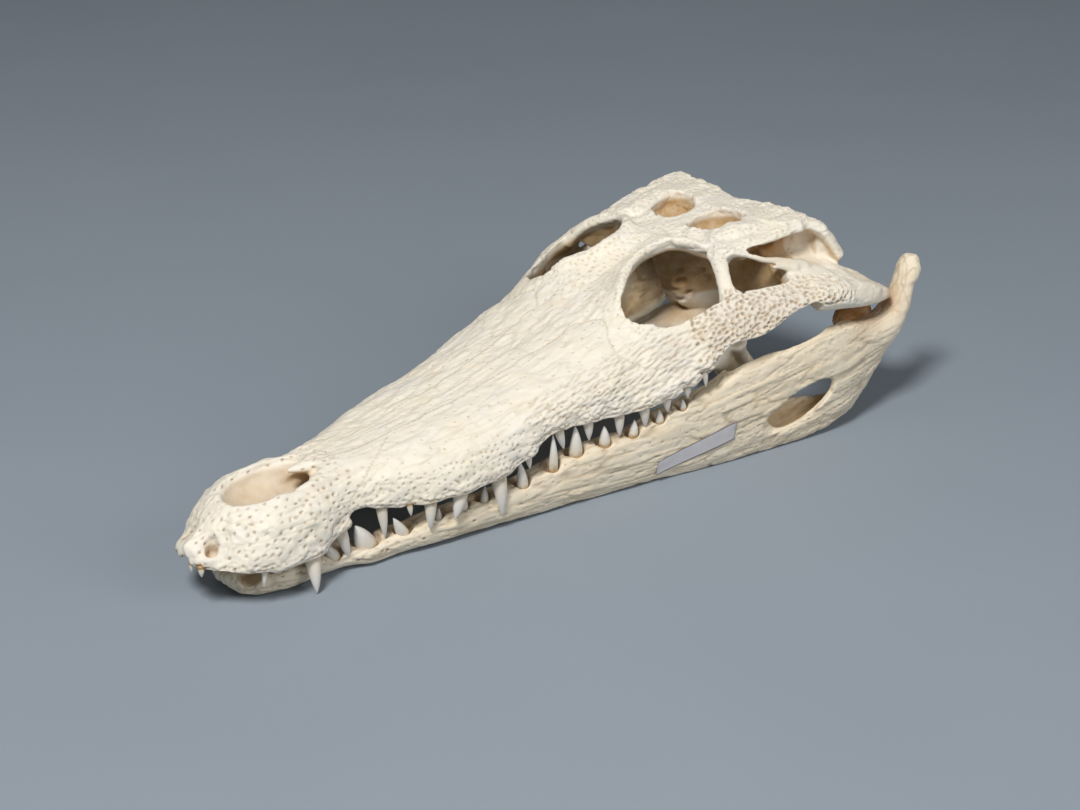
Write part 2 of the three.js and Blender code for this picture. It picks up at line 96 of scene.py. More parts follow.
edge_half_width = profile([
    (0, 3.5), (3, 10), (9, 17), (18, 23.5), (30, 27.5), (45, 27.5), (57, 25), (68, 22.5), (79, 25), (93, 31),
    (108, 37), (126, 40.5), (144, 41), (162, 41.7), (180, 45), (202, 51), (219, 56), (238, 61.7), (255, 66),
    (279, 70.5), (303, 73.5), (322, 75)])
edge_height = profile([
    (0, 21), (5, 20.3), (11, 19.6), (20, 18.4), (30, 17.2), (46, 17.2), (57, 19.5), (63, 22.5), (68, 28),
    (75, 28.5), (90, 25), (133, 27.2), (146, 30), (158, 36), (168, 39.6), (205, 39.6), (219, 41.2),
    (229, 44.4), (238, 49), (247, 57.6), (255, 63), (266, 62.8), (278, 66), (289, 70.5), (303, 72),
    (315, 70.8), (322, 69)])
ridge_height = profile([
    (0, 28.5), (4, 31), (9, 33.5), (14, 38), (20, 42), (28, 44.8), (40, 46.2), (64, 46), (90, 47),
    (120, 50.5), (150, 56), (180, 63.5), (205, 71.5), (220, 77.5), (235, 83), (250, 88.5), (262, 93),
    (275, 96), (290, 97.5), (322, 98.5)])
snout_squareness = profile([(0, 1.25), (9, 1.25), (18, 1.9), (36, 2.6), (70, 2.9), (205, 3)])
roof_half_width = profile([
    (205, 18), (219, 22), (227, 19.5), (235, 14.5), (241, 12.2), (247, 11.2), (254, 11.4), (263, 15),
    (270, 23.5), (278, 31.5), (286, 35.5), (300, 39.5), (310, 41.8), (322, 43.3)])
roof_edge_height = profile([
    (205, 72), (215, 77), (222, 82), (227, 85.5), (235, 88), (247, 92.4), (258, 95.2), (265, 96.5),
    (273, 93.5), (280, 92), (288, 92), (301, 95.5), (310, 96.5), (322, 98.5)])
table_swell = profile([(270, 0), (284, 3.5), (300, 4), (312, 3), (322, 0.5)])
crest_half_width = profile([(205, 26), (250, 36), (272, 38), (283, 41.5), (300, 47.5), (322, 52.5)])
crest_height = profile([
    (205, 70.5), (225, 79), (250, 85), (272, 89.5), (283, 89.5), (300, 84.5), (322, 79)])
cheek_half_width = profile([
    (205, 34), (216, 38), (226, 42.5), (232, 46), (239, 48.5), (246, 50.5), (256, 52), (268, 53.2),
    (282, 57), (299, 59), (310, 62), (322, 67)])
cheek_height = profile([
    (205, 68.5), (216, 72.5), (226, 74.3), (232, 74.3), (239, 75.5), (246, 77), (256, 79.7), (267, 81.8),
    (282, 81.2), (299, 79.5), (310, 78), (322, 76)])
jaw_outer = profile([
    (16, 4), (19, 10), (26, 15.5), (40, 20), (56, 20.5), (65, 21.5), (76, 25.5), (87, 26.5), (99, 30),
    (123, 35), (148, 39.5), (172, 44), (199, 50), (227, 56), (251, 62.3), (275, 67.5), (299, 72.3),
    (326, 76), (350, 75)])
jaw_top = profile([
    (16, 9.5), (20, 12), (30, 12.5), (50, 12), (64, 10.5), (77, 9.5), (93, 11.5), (108, 14.5), (135, 16.5),
    (151, 18.5), (166, 22), (178, 26), (205, 27.5), (219, 31.5), (230, 35), (249, 40), (270, 47.5),
    (294, 50.5), (318, 53.5), (327, 52.8), (352, 50.5)])
jaw_bottom = profile([
    (16, 6), (22, 1.5), (30, 0.3), (60, 0.3), (100, 0.9), (150, 0.9), (200, 0.6), (240, 0.3), (290, 0.3),
    (312, 2), (328, 6.5), (340, 13), (352, 26)])

# each tooth, front to back: [station, side, height] where it leaves its socket, its width there, and its tip
UPPER_TEETH = [
    (1.8, 2.5, 21, 2.4, 1.6, 2.6, 17.1), (2.6, 8.1, 21, 3, 2.5, 8.3, 17),
    (23.5, 22, 18.5, 2.8, 22.6, 22.3, 10.5), (46.5, 22.8, 17.4, 7.6, 45.3, 27, 0.4),
    (63.3, 20.3, 21.5, 6, 67, 20.8, 5.5), (82.8, 23.1, 27.4, 5.5, 83.9, 23.9, 10.9),
    (93.3, 29.2, 25.5, 3, 93.9, 29.5, 19.8), (102.9, 31.4, 25.6, 6.3, 101.7, 32.2, 11.3),
    (117.5, 34.4, 26.2, 7.6, 112.6, 35.8, 13.5), (136.8, 36.2, 28, 8, 137.1, 38.7, 7.5),
    (151.8, 38.8, 32.5, 3.8, 152.9, 39.1, 25.3), (168.5, 39.7, 40.5, 5.2, 172.2, 40.1, 28.4),
    (184, 42.6, 40.5, 5.6, 184.7, 43, 29.6), (199.2, 46.6, 40.8, 5.9, 199.6, 47, 28),
    (211.4, 50, 41.5, 6, 212.5, 50.3, 29.7), (221.8, 53.5, 43.8, 5.3, 223.3, 53.8, 34.8),
    (231.5, 56.8, 47.8, 4.7, 232.7, 57, 39.8), (239.5, 59.7, 53.5, 3.8, 241.4, 59.9, 43.3)]
LOWER_TEETH = [
    (35, 14.4, 9, 6.4, 33, 15.4, 14.6), (61.5, 17, 6.5, 7.6, 58.5, 17, 14),
    (78.4, 18.4, 6, 10.6, 71.2, 20.2, 19.9), (94.5, 23.7, 7.5, 6.4, 87.9, 24.7, 19.2),
    (109.5, 28.2, 8.5, 4.6, 110.1, 28.2, 17.4), (121.6, 30.6, 10, 4.8, 122.8, 30.6, 19.6),
    (132, 32, 10.3, 5.5, 133.1, 32, 21.5), (151.6, 35.7, 15, 6.2, 149.3, 36.3, 29.4),
    (166.7, 39, 20, 5, 166, 39.5, 37.9), (179.1, 40.3, 23.5, 7.1, 178.1, 40.8, 38.4),
    (193.2, 44.1, 25.5, 6, 192.3, 44.5, 35), (207.6, 47.7, 26.5, 5, 207.9, 48, 34.2),
    (221.2, 50.8, 29.7, 4.6, 220.4, 51, 36.1), (232.9, 54.1, 33.8, 3.6, 231.9, 54.3, 38.8)]

# ---------------------------------------------------------------- signed distance fields


def smooth_min(a, b, k):
    if k <= 0:
        return np.minimum(a, b)
    h = np.maximum(k - np.abs(a - b), 0) / k
    return np.minimum(a, b) - h * h * F(k / 4)


def smooth_max(a, b, k):
    return -smooth_min(-a, -b, k)


def smoothed(d, rounds):
    """A grid's values, averaged with their neighbours round after round."""
    for _ in range(rounds):
        for axis in range(3):
            d = np.moveaxis(d, axis, 0)
            e = d.copy()
            e[1:-1] = (d[:-2] + 2 * d[1:-1] + d[2:]) * F(0.25)
            d = np.moveaxis(e, 0, axis)
    return np.ascontiguousarray(d)


def trilinear(d, lo, step, points):
    """Values between the points of a grid whose first point is at lo."""
    p = np.clip((points - lo) / step, 0, np.array(d.shape) - 1.001)
    i = p.astype(int)
    f = (p - i).astype(F)
    out = np.zeros(len(points), F)
    for corner in np.ndindex(2, 2, 2):
        w = np.where(corner, f, 1 - f)
        j = i + corner
        out += w[:, 0] * w[:, 1] * w[:, 2] * d[j[:, 0], j[:, 1], j[:, 2]]
    return out


class Field:
    """Distances to the surface on a regular grid: negative inside the bone."""

    def __init__(self, lo, hi):
        self.h = VOXEL
        self.lo = np.floor(np.array(lo) / VOXEL) * VOXEL
        self.n = np.ceil((np.array(hi) - self.lo) / VOXEL).astype(int) + 1
        self.d = np.full(self.n, BAND, F)

    def window(self, lo, hi):
        a = np.maximum(np.floor((np.array(lo) - self.lo) / self.h).astype(int), 0)
        b = np.minimum(np.ceil((np.array(hi) - self.lo) / self.h).astype(int) + 1, self.n)
        return a, b

    def coordinates(self, a, b):
        axes = [(self.lo[k] + self.h * np.arange(a[k], b[k], dtype=F)).astype(F) for k in range(3)]
        return np.meshgrid(*axes, indexing="ij", sparse=True)

    def change(self, form, how):
        """Gives the distances near a form new values, made from the old ones and the form's own."""
        a, b = self.window(form.lo - MARGIN, form.hi + MARGIN)
        if np.all(b > a):
            where = tuple(slice(i, j) for i, j in zip(a, b))
            self.d[where] = how(self.d[where], form.distances(self, a, b))

    def add(self, form, k=0.0):
        self.change(form, lambda old, new: smooth_min(old, new, k))

    def cut(self, form, k=0.0):
        self.change(form, lambda old, new: smooth_max(old, -new, k))

    def keep_outside(self, form, gap):
        self.change(form, lambda old, new: np.maximum(old, F(gap) - new))

    def sample(self, points, data=None):
        return trilinear(self.d if data is None else data, self.lo, self.h, points)

    def surface(self, mirror=False):
        """The surface as points and quads. A mirrored field has its first layer on the middle plane."""
        d, lo = self.d, self.lo.copy()
        if mirror:
            d = np.concatenate([d[:, :0:-1, :], d], axis=1)
            lo[1] -= self.h * (self.n[1] - 1)
        edge = F(3 * self.h)  # farther distances do not matter for the surface
        grid = openvdb.FloatGrid(edge)
        grid.copyFromArray(np.clip(d, -edge, edge))
        points, _, quads = grid.convertToPolygons(isovalue=0.0, adaptivity=0.0)
        return points.astype(float) * self.h + lo, quads.astype(np.int64)


def ring_quads(rows, per):
    """Quads between neighbouring rows of points, each row a closed ring."""
    r, i = np.meshgrid(np.arange(rows - 1), np.arange(per), indexing="ij")
    a, b = r * per + i, r * per + (i + 1) % per
    return np.stack([a, b, b + per, a + per], -1).reshape(-1, 4)


class Closed:
    """A closed mesh as a form for a field."""

    def __init__(self, rings):
        rings = np.array(rings, float)
        rows, per, _ = rings.shape
        points = rings.reshape(-1, 3)
        self.quads = ring_quads(rows, per).astype(np.uint32)
        centres = np.stack([rings[0].mean(0), rings[-1].mean(0)])
        first = np.arange(per)
        after = (first + 1) % per
        last = (rows - 1) * per
        low = np.stack([np.full(per, rows * per), after, first], -1)
        high = np.stack([np.full(per, rows * per + 1), last + first, last + after], -1)
        self.triangles = np.concatenate([low, high]).astype(np.uint32)
        self.points = np.concatenate([points, centres])
        self.lo, self.hi = self.points.min(0), self.points.max(0)

    def distances(self, field, a, b):
        points = ((self.points - field.lo) / field.h).astype(F)
        grid = openvdb.FloatGrid.createLevelSetFromPolygons(
            points, triangles=self.triangles, quads=self.quads,
            transform=openvdb.createLinearTransform(1.0), halfWidth=BAND / field.h)
        out = np.empty(b - a, F)
        grid.copyToArray(out, ijk=tuple(int(v) for v in a))
        return out * F(field.h)


class Ellipsoid:
    """An ellipsoid that may be turned about the vertical."""

    def __init__(self, centre, radii, turn=0.0):
        self.c, self.r = np.array(centre, float), np.array(radii, float)
        self.turn = math.radians(turn)
        reach = self.r.max() if turn else self.r
        self.lo, self.hi = self.c - reach, self.c + reach

    def distances(self, field, a, b):
        x, y, z = (v - F(middle) for v, middle in zip(field.coordinates(a, b), self.c))
        c, s = math.cos(self.turn), math.sin(self.turn)
        x, y = x * F(c) + y * F(s), y * F(c) - x * F(s)
        rx, ry, rz = self.r
        near = np.sqrt((x / F(rx)) ** 2 + (y / F(ry)) ** 2 + (z / F(rz)) ** 2)
        steep = np.sqrt((x / F(rx**2)) ** 2 + (y / F(ry**2)) ** 2 + (z / F(rz**2)) ** 2)
        return np.clip(near * (near - 1) / np.maximum(steep, F(1e-4)), -BAND, FAR).astype(F)


def lumps(rows, turn=0.0):
    """Ellipsoids, each from its centre's x, y and z and its three radii."""
    return [Ellipsoid(row[:3], row[3:], turn) for row in rows]


class Tube:
    """A round rod of changing thickness along a chain of [x, y, z, radius]."""

    def __init__(self, knots):
        self.knots = spline(knots, PATH_STEP)
        r = self.knots[:, 3:4]
        self.lo = (self.knots[:, :3] - r).min(0)
        self.hi = (self.knots[:, :3] + r).max(0)

    def distances(self, field, a, b):
        x, y, z = field.coordinates(a, b)
        out = np.full(b - a, FAR, F)
        for p, q in zip(self.knots[:-1], self.knots[1:]):
            pad = max(p[3], q[3]) + BAND
            i, j = field.window(np.minimum(p, q)[:3] - pad, np.maximum(p, q)[:3] + pad)
            i, j = np.maximum(i, a), np.minimum(j, b)
            if np.any(j <= i):
                continue
            w = tuple(slice(m - o, n - o) for m, n, o in zip(i, j, a))
            xs, ys, zs = x[w[0]] - F(p[0]), y[:, w[1]] - F(p[1]), z[:, :, w[2]] - F(p[2])
            along = q[:3] - p[:3]
            length = max(float(along @ along), 1e-6)
            t = np.clip((xs * F(along[0]) + ys * F(along[1]) + zs * F(along[2])) / F(length), 0, 1)
            d = np.sqrt((xs - t * F(along[0])) ** 2 + (ys - t * F(along[1])) ** 2
                        + (zs - t * F(along[2])) ** 2) - (F(p[3]) + t * F(q[3] - p[3]))
            out[w] = np.minimum(out[w], d)
        return out


def spline(knots, spacing, loop=False):
    """Points along a smooth curve through the knots, extra columns carried along."""
    knots = np.array(knots, float)
    k = np.concatenate([knots[-1:], knots, knots[:2]]) if loop else np.concatenate(
        [2 * knots[:1] - knots[1:2], knots, 2 * knots[-1:] - knots[-2:-1]])
    out = []
    for a, b, c, d in zip(k[:-3], k[1:-2], k[2:-1], k[3:]):
        steps = max(int(np.linalg.norm(c[:3] - b[:3]) / spacing), 1)
        for t in np.arange(steps) / steps:
            out.append(catmull_rom(a, b, c, d, t))
    out.append(out[0] if loop else knots[-1])
    return np.array(out)


def strip(knots, up=(0, 0, 1), square=1.0):
    """A rod with an oval section: each knot is [x, y, z, half width across, half width up]."""
    path = spline(knots, PATH_STEP)
    centre = path[:, :3]
    along = np.gradient(centre, axis=0)
    across = np.cross(along, np.array(up, float))
    across /= np.linalg.norm(across, axis=1, keepdims=True)
    upward = np.cross(across, along)
    upward /= np.linalg.norm(upward, axis=1, keepdims=True)
    sides = 24
    angle = 2 * np.pi * (np.arange(sides) + 0.5) / sides
    c = np.sign(np.cos(angle)) * np.abs(np.cos(angle)) ** square
    s = np.sign(np.sin(angle)) * np.abs(np.sin(angle)) ** square
    return Closed(centre[:, None] + across[:, None] * (path[:, 3:4] * c)[..., None]
                  + upward[:, None] * (path[:, 4:5] * s)[..., None])


def upright(plan, low, high):
    """A post with the same plan from one height to another."""
    levels = np.linspace(low, high, 12)
    return Closed([np.column_stack([plan, np.full(len(plan), z)]) for z in levels])


def post(centre, radii, low, high, turn=0.0):
    """An egg-shaped post: radii to the front, to the rear and across."""
    front, rear, across = radii
    sides = 64
    angle = 2 * np.pi * np.arange(sides) / sides
    c, s = math.cos(math.radians(turn)), math.sin(math.radians(turn))
    along = np.cos(angle) * np.where(np.cos(angle) < 0, front, rear)
    aside = np.sin(angle) * across
    plan = [centre[0] + along * c - aside * s, centre[1] + along * s + aside * c]
    return upright(np.transpose(plan), low, high)


def plan_post(outline, low, high):
    """A post whose plan is a smooth closed curve through [x, y] points."""
    flat = [(x, y, 0) for x, y in outline]
    return upright(spline(flat, 1.0, loop=True)[:-1, :2], low, high)


def both_sides(half):
    """A closed outline from the half of it that ends on the middle line."""
    return half + [(x, -y) for x, y in half[-2:0:-1]]


# ---------------------------------------------------------------- the cranium's form


def half_ring(side, fine):
    """One side of a section, [y, z] from the middle of the top to the middle of the bottom, resampled."""
    side = np.array(side, float)
    t = (np.arange(fine) / fine)[:, None]
    pieces = []
    for i in range(len(side) - 1):
        a, b = side[i], side[i + 1]
        before = side[i - 1] if i else b * [-1, 1]
        after = side[i + 2] if i + 2 < len(side) else 2 * b - a
        pieces.append(catmull_rom(before, a, b, after, t))
    pieces.append(side[-1:])
    return np.concatenate(pieces)


def whole_ring(station, half):
    """A section's ring from one side of it."""
    far = half[1:-1][::-1] * [-1, 1]
    both = np.concatenate([half, far])
    return np.column_stack([np.full(len(both), station), both])


def snout_half(station):
    """One side of the snout's section: an arch, then its flat underside."""
    half, low = edge_half_width(station), edge_height(station)
    height = ridge_height(station) - low
    power = 2 / snout_squareness(station)
    steps = 28
    angle = (np.pi / 2) * (1 - np.arange(steps + 1) / steps)
    arch = np.column_stack([half * np.cos(angle) ** power, low + height * np.sin(angle) ** power])
    arch[0, 0] = 0
    inner = max(half - 8, half * 0.5)
    under = [(inner, low), (inner * 0.7, low + 3), (0, low + 3)]
    corners = np.concatenate([arch[-1:], under])
    line = []
    for a, b in zip(corners[:-1], corners[1:]):
        line.append(a + (b - a) * (np.arange(1, 5) / 4)[:, None])
    return np.concatenate([arch, *line])


def socket_half(station):
    """One side of the section between the eyes and the table's end."""
    roof = np.array([roof_half_width(station), roof_edge_height(station)])
    crest = np.array([crest_half_width(station), crest_height(station)])
    cheek = np.array([cheek_half_width(station), cheek_height(station)])
    edge = np.array([edge_half_width(station), edge_height(station)])
    top = np.array([0, ridge_height(station)])
    floor = min(edge[1] + 3, 58)
    middle = top + (roof - top) * 0.54 + [0, table_swell(station)]
    side = cheek + (edge - cheek) * 0.55 + [2.6, 1]
    marks = np.array([top, middle, roof, roof + (crest - roof) * 0.55, crest, cheek, side, edge,
                      edge - [7, 0], [edge[0] * 0.6, floor], [0, floor]], float)
    t = np.array([0, 6, 11, 14, 17, 21, 25, 28, 32, 36, 40])
    want = np.arange(41)
    line = np.column_stack([np.interp(want, t, marks[:, 0]), np.interp(want, t, marks[:, 1])])
    round_off = line.copy()
    for _ in range(2):
        round_off[1:28] = (round_off[:27] + 2 * round_off[1:28] + round_off[2:29]) / 4
    return round_off


def outer_half(station):
    change = rise(station, 190, 226)
    return snout_half(station) * (1 - change) + socket_half(station) * change


STATIONS = np.concatenate([[0, 0.4, 1, 1.8, 2.8], np.arange(4, 322, 1.5), [322]])


def chambers():
    """The room under the roof, from the eye sockets to the rear wall."""
    rings = []
    for station in np.arange(214, 314.1, 2):
        closing = 1 - 0.14 * max(1 - (station - 214) / 8, 0) - 0.14 * max(1 - (314 - station) / 8, 0)
        inner = (cheek_half_width(station) - 4.5) * closing
        low = (edge_half_width(station) - 6.5) * closing
        rings.append(whole_ring(station, half_ring([
            (0, ridge_height(station) - 6), (roof_half_width(station) * 0.9, roof_edge_height(station) - 6),
            (crest_half_width(station) - 4, crest_height(station) - 6), (inner, cheek_height(station) - 5),
            (low, edge_height(station) - 1), (low, 10), (0, 10)], 4)))
    return Closed(rings)


def braincase():
    half_width = profile([(262, 2.5), (270, 4), (277, 8), (290, 13), (310, 20), (326, 24)])
    floor_height = profile([(262, 88), (267, 84), (270, 77), (276, 68), (284, 55), (305, 51), (326, 57)])
    rings = []
    for station in np.arange(262, 326.1, 2):
        half, low, high = half_width(station), floor_height(station), ridge_height(station) - 3
        wall = [(0, high), (half, high), (half * 0.95, low * 0.5 + high * 0.5), (half * 0.6, low), (0, low)]
        rings.append(whole_ring(station, half_ring(wall, 5)))
    return Closed(rings)


# the quadrate's section at some stations, each six [y, z] corners
QUADRATE = [
    (298, [[12, 56], [20, 60], [32, 70], [45, 83.5], [38, 87], [14, 88]]), (311, [[18, 55], [34, 60],
    [54, 68], [61, 76], [49.5, 81.5], [24, 88]]), (323, [[28, 55], [50, 59.5], [73, 67], [68, 75],
    [53, 78.5], [38, 86]]), (334, [[39, 54.5], [60, 58], [75, 63], [71, 72], [54, 76.5], [45, 79]]),
    (345, [[46, 53], [65, 56.5], [75, 60.5], [73, 67.5], [57, 72], [49, 70]]), (352.5, [[50, 54], [65, 57],
    [74.3, 60], [73, 64.5], [59, 66.5], [51, 62]]), (356, [[53, 57], [64, 58.5], [72.5, 60.5], [71.5, 63],
    [61, 64], [54, 60.5]])]


def quadrate():
    rings = []
    stations = [station for station, _ in QUADRATE]
    corners = np.array([six for _, six in QUADRATE], float).transpose(1, 2, 0)
    for station in np.concatenate([np.arange(303.5, 356, 1.5), [356]]):
        here = np.array([[np.interp(station, stations, v) for v in corner] for corner in corners])
        ring = np.concatenate([a + (b - a) * (np.arange(6) / 6)[:, None]
                               for a, b in zip(here, np.roll(here, -1, axis=0))])
        rings.append(np.column_stack([np.full(len(ring), station), ring]))
    return Closed(rings)


# plans, as [station, y]: an eye socket with the opening behind it, the table's rear part, one opening
# through the table, and the nostril
SOCKET = [
    (219.5, 31), (221.5, 37), (226, 41.8), (232, 45.8), (239, 48.2), (246, 50.2), (251.6, 51), (256, 51.8),
    (262, 52.4), (267, 53.2), (275, 55.2), (282, 57.4), (290, 58.4), (296, 58), (299.3, 55.8), (296, 52.5),
    (290, 49), (284, 45), (280, 41), (277, 37), (275, 32), (273, 26.5), (269.7, 22.5), (265.5, 18),
    (262.6, 14.8), (258, 12.8), (253.2, 11.4), (246.7, 11.2), (240.6, 12.4), (234.6, 14.9), (226.5, 20),
    (221.8, 24.5)]
TABLE_REAR = [
    (304, -18)] + both_sides([(304, 18), (308, 38), (318, 42.4), (325.5, 43), (329, 39), (329.2, 30),
    (327.4, 20), (324.4, 10), (320.5, 0)])
TABLE_OPENING = [
    (281.4, 12.1), (282.4, 7), (287.3, 4.5), (296.4, 5), (303.4, 9.2), (306.2, 16), (305.5, 21), (300.6, 24),
    (292, 22), (284.5, 17.5)]
NOSTRIL = both_sides([
    (20.6, 0), (22.5, 6.5), (27.5, 11), (35, 13.4), (46, 13.6), (55, 12), (61, 9), (63.6, 5), (62, 1.4),
    (60.6, 0)])


def cranium_field():
    f = Field((-3, 0, -3), (362, 84, 106))
    f.add(Closed([whole_ring(s, outer_half(s)) for s in STATIONS]))
    f.outer = f.d.copy()
    # the room under the roof, the hollow of the nostrils, and the passage that leads back from it
    f.cut(chambers(), 2)
    f.cut(plan_post(NOSTRIL, 42, 60), 1)
    f.cut(Ellipsoid((41.5, 0, 43), (20.5, 13.2, 10.5)), 2)
    f.cut(strip([(50, 0, 36, 7, 4), (66, 0, 36, 6, 4), (90, 0, 36, 5, 3.5)]), 1.5)
    f.add(strip([(72, 0, 43, 7, 3), (60, 0, 43.6, 3.6, 2.4), (52.5, 0, 44.3, 0.9, 0.9)]), 1.2)
    # the palate's opening, and the hole through the front of the snout in a thickened floor
    f.cut(post((212, 25), (34, 40, 13.5), 0, 57, turn=10), 2)
    f.add(Ellipsoid((9, 7, 23.2), (6.5, 5.5, 3.2)), 2)
    f.cut(post((8.7, 7.5), (2.7, 2.7, 3.1), 22.4, 60, turn=40), 0.5)
    # braincase, quadrate and the rear wall
    f.add(braincase(), 3)
    f.add(Ellipsoid((328, 0, 71), (6.6, 6, 5.4)), 1.5)
    f.add(quadrate(), 5)
    f.add(strip([
        (319, 2, 81, 5, 16), (320, 20, 81, 5, 16), (326, 34, 83, 4.5, 11), (334, 42, 80, 3.5, 8),
        (340, 48, 75, 3.2, 5)], square=0.8), 3)
    # the table's rear edge, swept back at its corners, the bone under it and at its sides, the rear end of
    # the cheek bar, and the raised rims of the table's openings
    f.add(plan_post(TABLE_REAR, 94.5, 99.6), 2.5)
    f.add(Ellipsoid((295, 14, 86), (15, 14, 5)), 3)
    f.add(Ellipsoid((302, 24, 89), (8, 7.5, 5.5)), 2)
    f.add(strip([
        (275, 32, 93.5, 4, 2.4), (286, 35.5, 93.8, 6, 3), (298, 38.5, 94.5, 6.5, 3), (310, 40, 95.2, 6, 3),
        (320, 40.5, 96, 5, 3)]), 3)
    f.add(strip([
        (306, 68.5, 71, 6, 5.5), (320, 71, 69, 5, 5.5), (332, 71.5, 66.5, 4, 4.5), (343, 70.5, 64, 3, 3)]),
        6)
    for side in (1, -1):
        f.add(strip([
            (278, 24 * side, 95.5, 4, 2), (287, 27.5 * side, 97.5, 4.5, 2.5), (298, 29 * side, 98.4, 5, 2.5),
            (310, 27 * side, 98.2, 5, 2.4), (320, 24 * side, 97.5, 4, 2.2)]), 3)
    # the eye socket with the opening behind it, the opening through the table, and the ear recess
    f.cut(plan_post(SOCKET, 58, 120), 1.2)
    f.cut(plan_post(TABLE_OPENING, 92, 120), 1.5)
    f.cut(Ellipsoid((294.5, 13.5, 95), (12, 9.5, 9), turn=12), 1.5)
    f.cut(strip([
        (279, 36, 87, 4, 3), (288, 43, 84.3, 5.5, 4.6), (296, 47, 81.5, 6.5, 5.6), (301.5, 49, 79.5, 6, 5)]),
        1)
    f.cut(strip([
        (281, 43, 91, 3, 1.2), (287, 44, 89.4, 7, 3.4), (296, 45, 88.2, 10, 5.2), (308, 46.5, 87.2, 12, 6.6),
        (320, 48, 86.6, 12, 7), (331, 50, 85, 10, 6.6)], square=0.8), 1.5)
    for hole in lumps([
            (301, 37, 87, 4.6, 6, 3.2), (312, 38.5, 88, 4, 4.5, 3.2), (321, 39, 87.5, 3.4, 4, 3),
            (291, 36, 89.5, 3.4, 6, 2)], turn=-20):
        f.cut(hole, 0.6)
    # the bar behind the eye, the thin crest of the quadrate and the spine on the quadratojugal
    f.add(strip([
        (279, 31.5, 91.5, 7, 3.2), (274.5, 34, 91.4, 5.6, 2.9), (271, 38, 90.2, 4.2, 2.6),
        (267, 44, 86.5, 3.7, 2.5), (264.5, 49, 81.8, 3.9, 2.6), (263.5, 53, 76.5, 6, 3)],
        up=(-0.613, 0.662, 0.43)), 2.5)
    f.add(strip([
        (280.5, 27.5, 88.5, 9, 2), (273.5, 37.5, 84.5, 9, 1.7), (271.5, 42, 80, 9, 1.6),
        (270.5, 46.5, 74, 8, 1.6)], up=(0.75, 0.605, 0.263)), 2)
    f.add(Tube([
        (276, 37, 93, 2.4), (283.3, 42, 91.6, 1.6), (290.5, 47, 88.2, 1.5), (298, 50, 86.6, 1.7),
        (304.3, 52, 84.5, 2.2), (312, 53.5, 81, 3)]), 1.6)
    f.add(Tube([(305, 54, 82.4, 2.3), (297, 52.4, 84.6, 1.3), (290, 51.4, 85.2, 0.45)]), 1.2)
    # the table's rear corner, hooked down behind the ear
    f.add(strip([
        (316, 39.5, 96, 3, 2.5), (325, 40.5, 96, 4.6, 3), (333, 43, 92, 6, 3), (338.5, 46.5, 85.5, 6, 3),
        (342.5, 50.5, 77, 5, 3)]), 2)
    # palatines, pterygoids and the struts to the cheeks
    f.add(strip([
        (190, 0, 42.5, 10, 4), (225, 0, 43.5, 6, 4), (256, 0, 45, 5, 4), (275, 0, 46, 6, 4),
        (294, 0, 47, 9, 4)]), 3)
    f.add(strip([
        (292, -4, 47, 16, 4.5), (292, 10, 45, 15, 4), (291, 22, 37.5, 13, 2.8), (290, 33, 31, 12, 2.6),
        (287, 43, 26.5, 10, 2.8)]), 3)
    f.add(strip([
        (287, 43, 27.5, 4.5, 3), (282.5, 45.5, 38, 3, 2.6), (276, 49, 48, 3, 2.6), (268, 54.5, 57, 5, 4)],
        up=(0, 1, 0)), 2)
    f.add(strip([
        (284, 42, 28, 7, 3), (273, 44, 38, 5.5, 3), (262, 49, 49, 7, 3.5), (252, 55, 57, 9, 4)],
        up=(0, 1, 0)), 3)
    f.add(strip([
        (214, 36, 50, 12, 5), (232, 46, 55, 8, 4.5), (252, 53, 60, 6.5, 4), (272, 57, 63, 5, 3.4),
        (290, 62, 66, 3, 2.4)]), 3)
    # the rear end of the nose's passage, and the opening at the back for the spinal cord
    f.cut(post((303, 0), (6, 6, 7), 20, 53), 2)
    f.cut(strip([(316, 0, 82, 5, 4.5), (333, 0, 82, 5.5, 4.8)]), 1)
    # holes for nerves in the braincase's side, and the uneven front edge of its wall
    for hole in lumps([
            (279, 9, 68.5, 3, 6, 2.4), (291, 15, 68, 3.6, 6, 3), (284, 10, 62, 2, 5, 1.6),
            (268, 4, 79.5, 1.9, 6, 1.3), (270.3, 5, 74.5, 2, 6, 1.2), (273.6, 5, 69.6, 2, 6, 1.3),
            (277.6, 7, 63.6, 2.2, 7, 1.2), (281, 7, 58.4, 2, 7, 1.2), (286, 12, 73, 5, 5, 2),
            (277, 9, 75, 3, 4, 1.4)]):
        f.cut(hole, 0.8)
    # the smooth raised rims of the eye sockets
    f.add(Tube([
        (224, 21.5, 82.6, 0.6), (227.5, 18.4, 85, 1.3), (234, 13.8, 87.4, 1.7), (241, 11, 89.9, 1.8),
        (247, 10, 91.9, 1.8), (254, 10.2, 93.7, 1.8), (259.5, 11.8, 95.1, 1.8), (264.5, 15.4, 95.9, 1.7),
        (268.5, 20.2, 95.2, 1.6), (272.5, 26, 93.2, 1.4)]), 4)
    # the bone swells round each tooth, and its socket leaves a gap
    for x, y, z, width, *_ in UPPER_TEETH:
        if width > 3.5:
            f.add(Ellipsoid((x, y - 0.3, z + 1.8), (width * 0.7 + 1.5, width / 2 + 1.7, 3.4)), 3)
    for x, y, z, width, *_ in UPPER_TEETH:
        deep = 4.6 if width > 4 else 2.2
        f.cut(Ellipsoid((x, y - 0.5, z - 0.8), (width / 2 + 0.7, width / 2 + 0.5, deep)), 0.5)
    f.d = smoothed(f.d, 2)
    return f


# ---------------------------------------------------------------- the lower jaw's form


